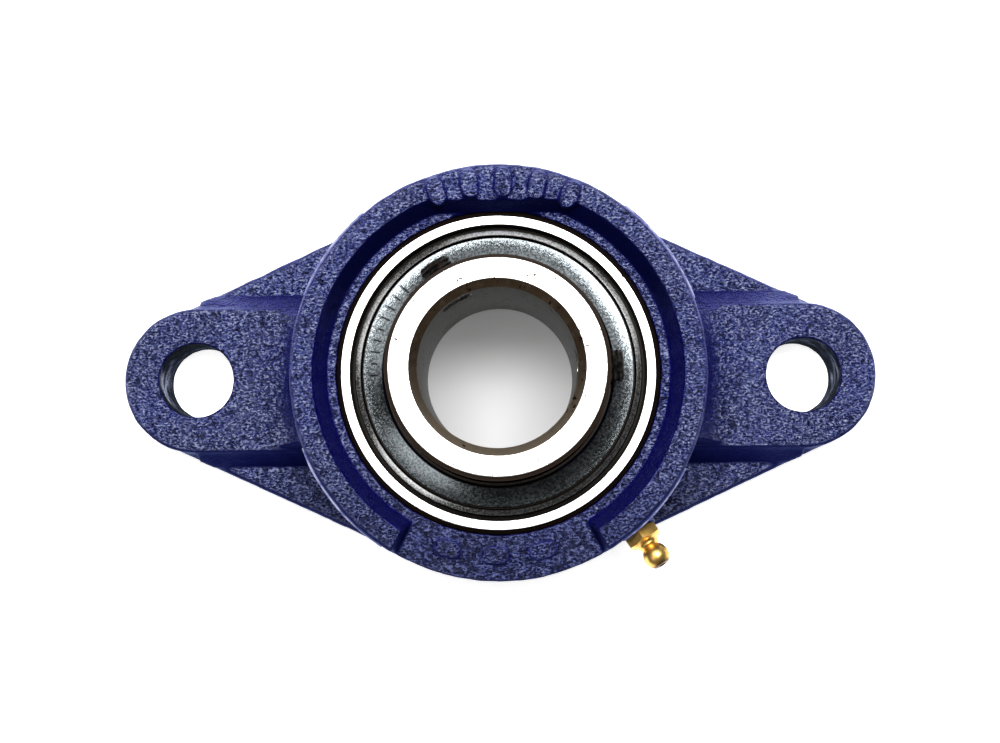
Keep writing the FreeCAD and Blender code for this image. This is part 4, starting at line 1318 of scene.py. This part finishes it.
def lights():
    """Two bright boxes overhead, dimmer panels round three sides, and a dark near side."""
    centre = (0.0, 0.0, 0.02)
    area_light("overhead_softbox", (0.0, 0.085, 0.62), (0.0, 0.085, 0.0), (0.38, 0.24), 1.9)
    area_light("far_softbox", (0.02, 0.17, 0.62), (0.02, 0.17, 0.0), (0.46, 0.16), 5.0)
    area_light("far_panel", (0.08, 0.46, 0.50), centre, (0.50, 0.22), 0.32)
    area_light("left_far_panel", (-0.36, 0.18, 0.52), centre, (0.26, 0.26), 0.26)
    area_light("left_near_panel", (-0.27, -0.24, 0.52), centre, (0.24, 0.24), 0.32)
    area_light("right_panel", (0.40, 0.22, 0.52), centre, (0.24, 0.24), 0.14)
    world = bpy.data.worlds.new("surround")
    world.use_nodes = True
    background = world.node_tree.nodes["Background"]
    background.inputs["Color"].default_value = WHITE
    background.inputs["Strength"].default_value = WORLD_LIGHT
    bpy.context.scene.world = world
    bpy.context.scene.view_settings.view_transform = "Standard"


def camera():
    """Almost straight down the shaft's axis, a little from below it."""
    data = bpy.data.cameras.new("camera")
    data.sensor_width = CAMERA_SENSOR
    data.lens = CAMERA_LENS
    data.clip_start = CAMERA_NEAR_M
    data.clip_end = CAMERA_FAR_M
    eye = bpy.data.objects.new("camera", data)
    eye.location = CAMERA_PLACE_M
    eye.rotation_euler = tuple(math.radians(angle) for angle in CAMERA_TURN)
    bpy.context.scene.collection.objects.link(eye)
    bpy.context.scene.camera = eye


# ---- Build ----

MATERIALS = {
    "cast_paint": cast_paint(),
    "outer_steel": outer_steel(),
    "inner_steel": inner_steel(),
    "slinger_steel": slinger_steel(),
    "seal_steel": seal_steel(),
    "turned_brass": turned_brass(),
    "black_oxide": black_oxide(),
    "seal_rubber": seal_rubber(),
    "cage_steel": polished_steel("cage_steel", CAGE_STEEL, 0.28),
    "ball_steel": polished_steel("ball_steel", BALL_STEEL, 0.06),
    "flash_paint": flash_paint(),
    "pale_floor": pale_floor(),
}

housing_casting()
parting_flash()
outer_ring()
inner_ring()
slinger("front_slinger", "front_slinger_steel", is_rear=False)
slinger("rear_slinger", "rear_slinger_steel", is_rear=True)
seal_carrier("front_seal_carrier", "front_seal_carrier_steel", is_rear=False)
seal_carrier("rear_seal_carrier", "rear_seal_carrier_steel", is_rear=True)
for screw_index in range(len(SCREW_ANGLES)):
    set_screw(screw_index)
nipple()
dress_cad_nodes()
floor()
lights()
camera()
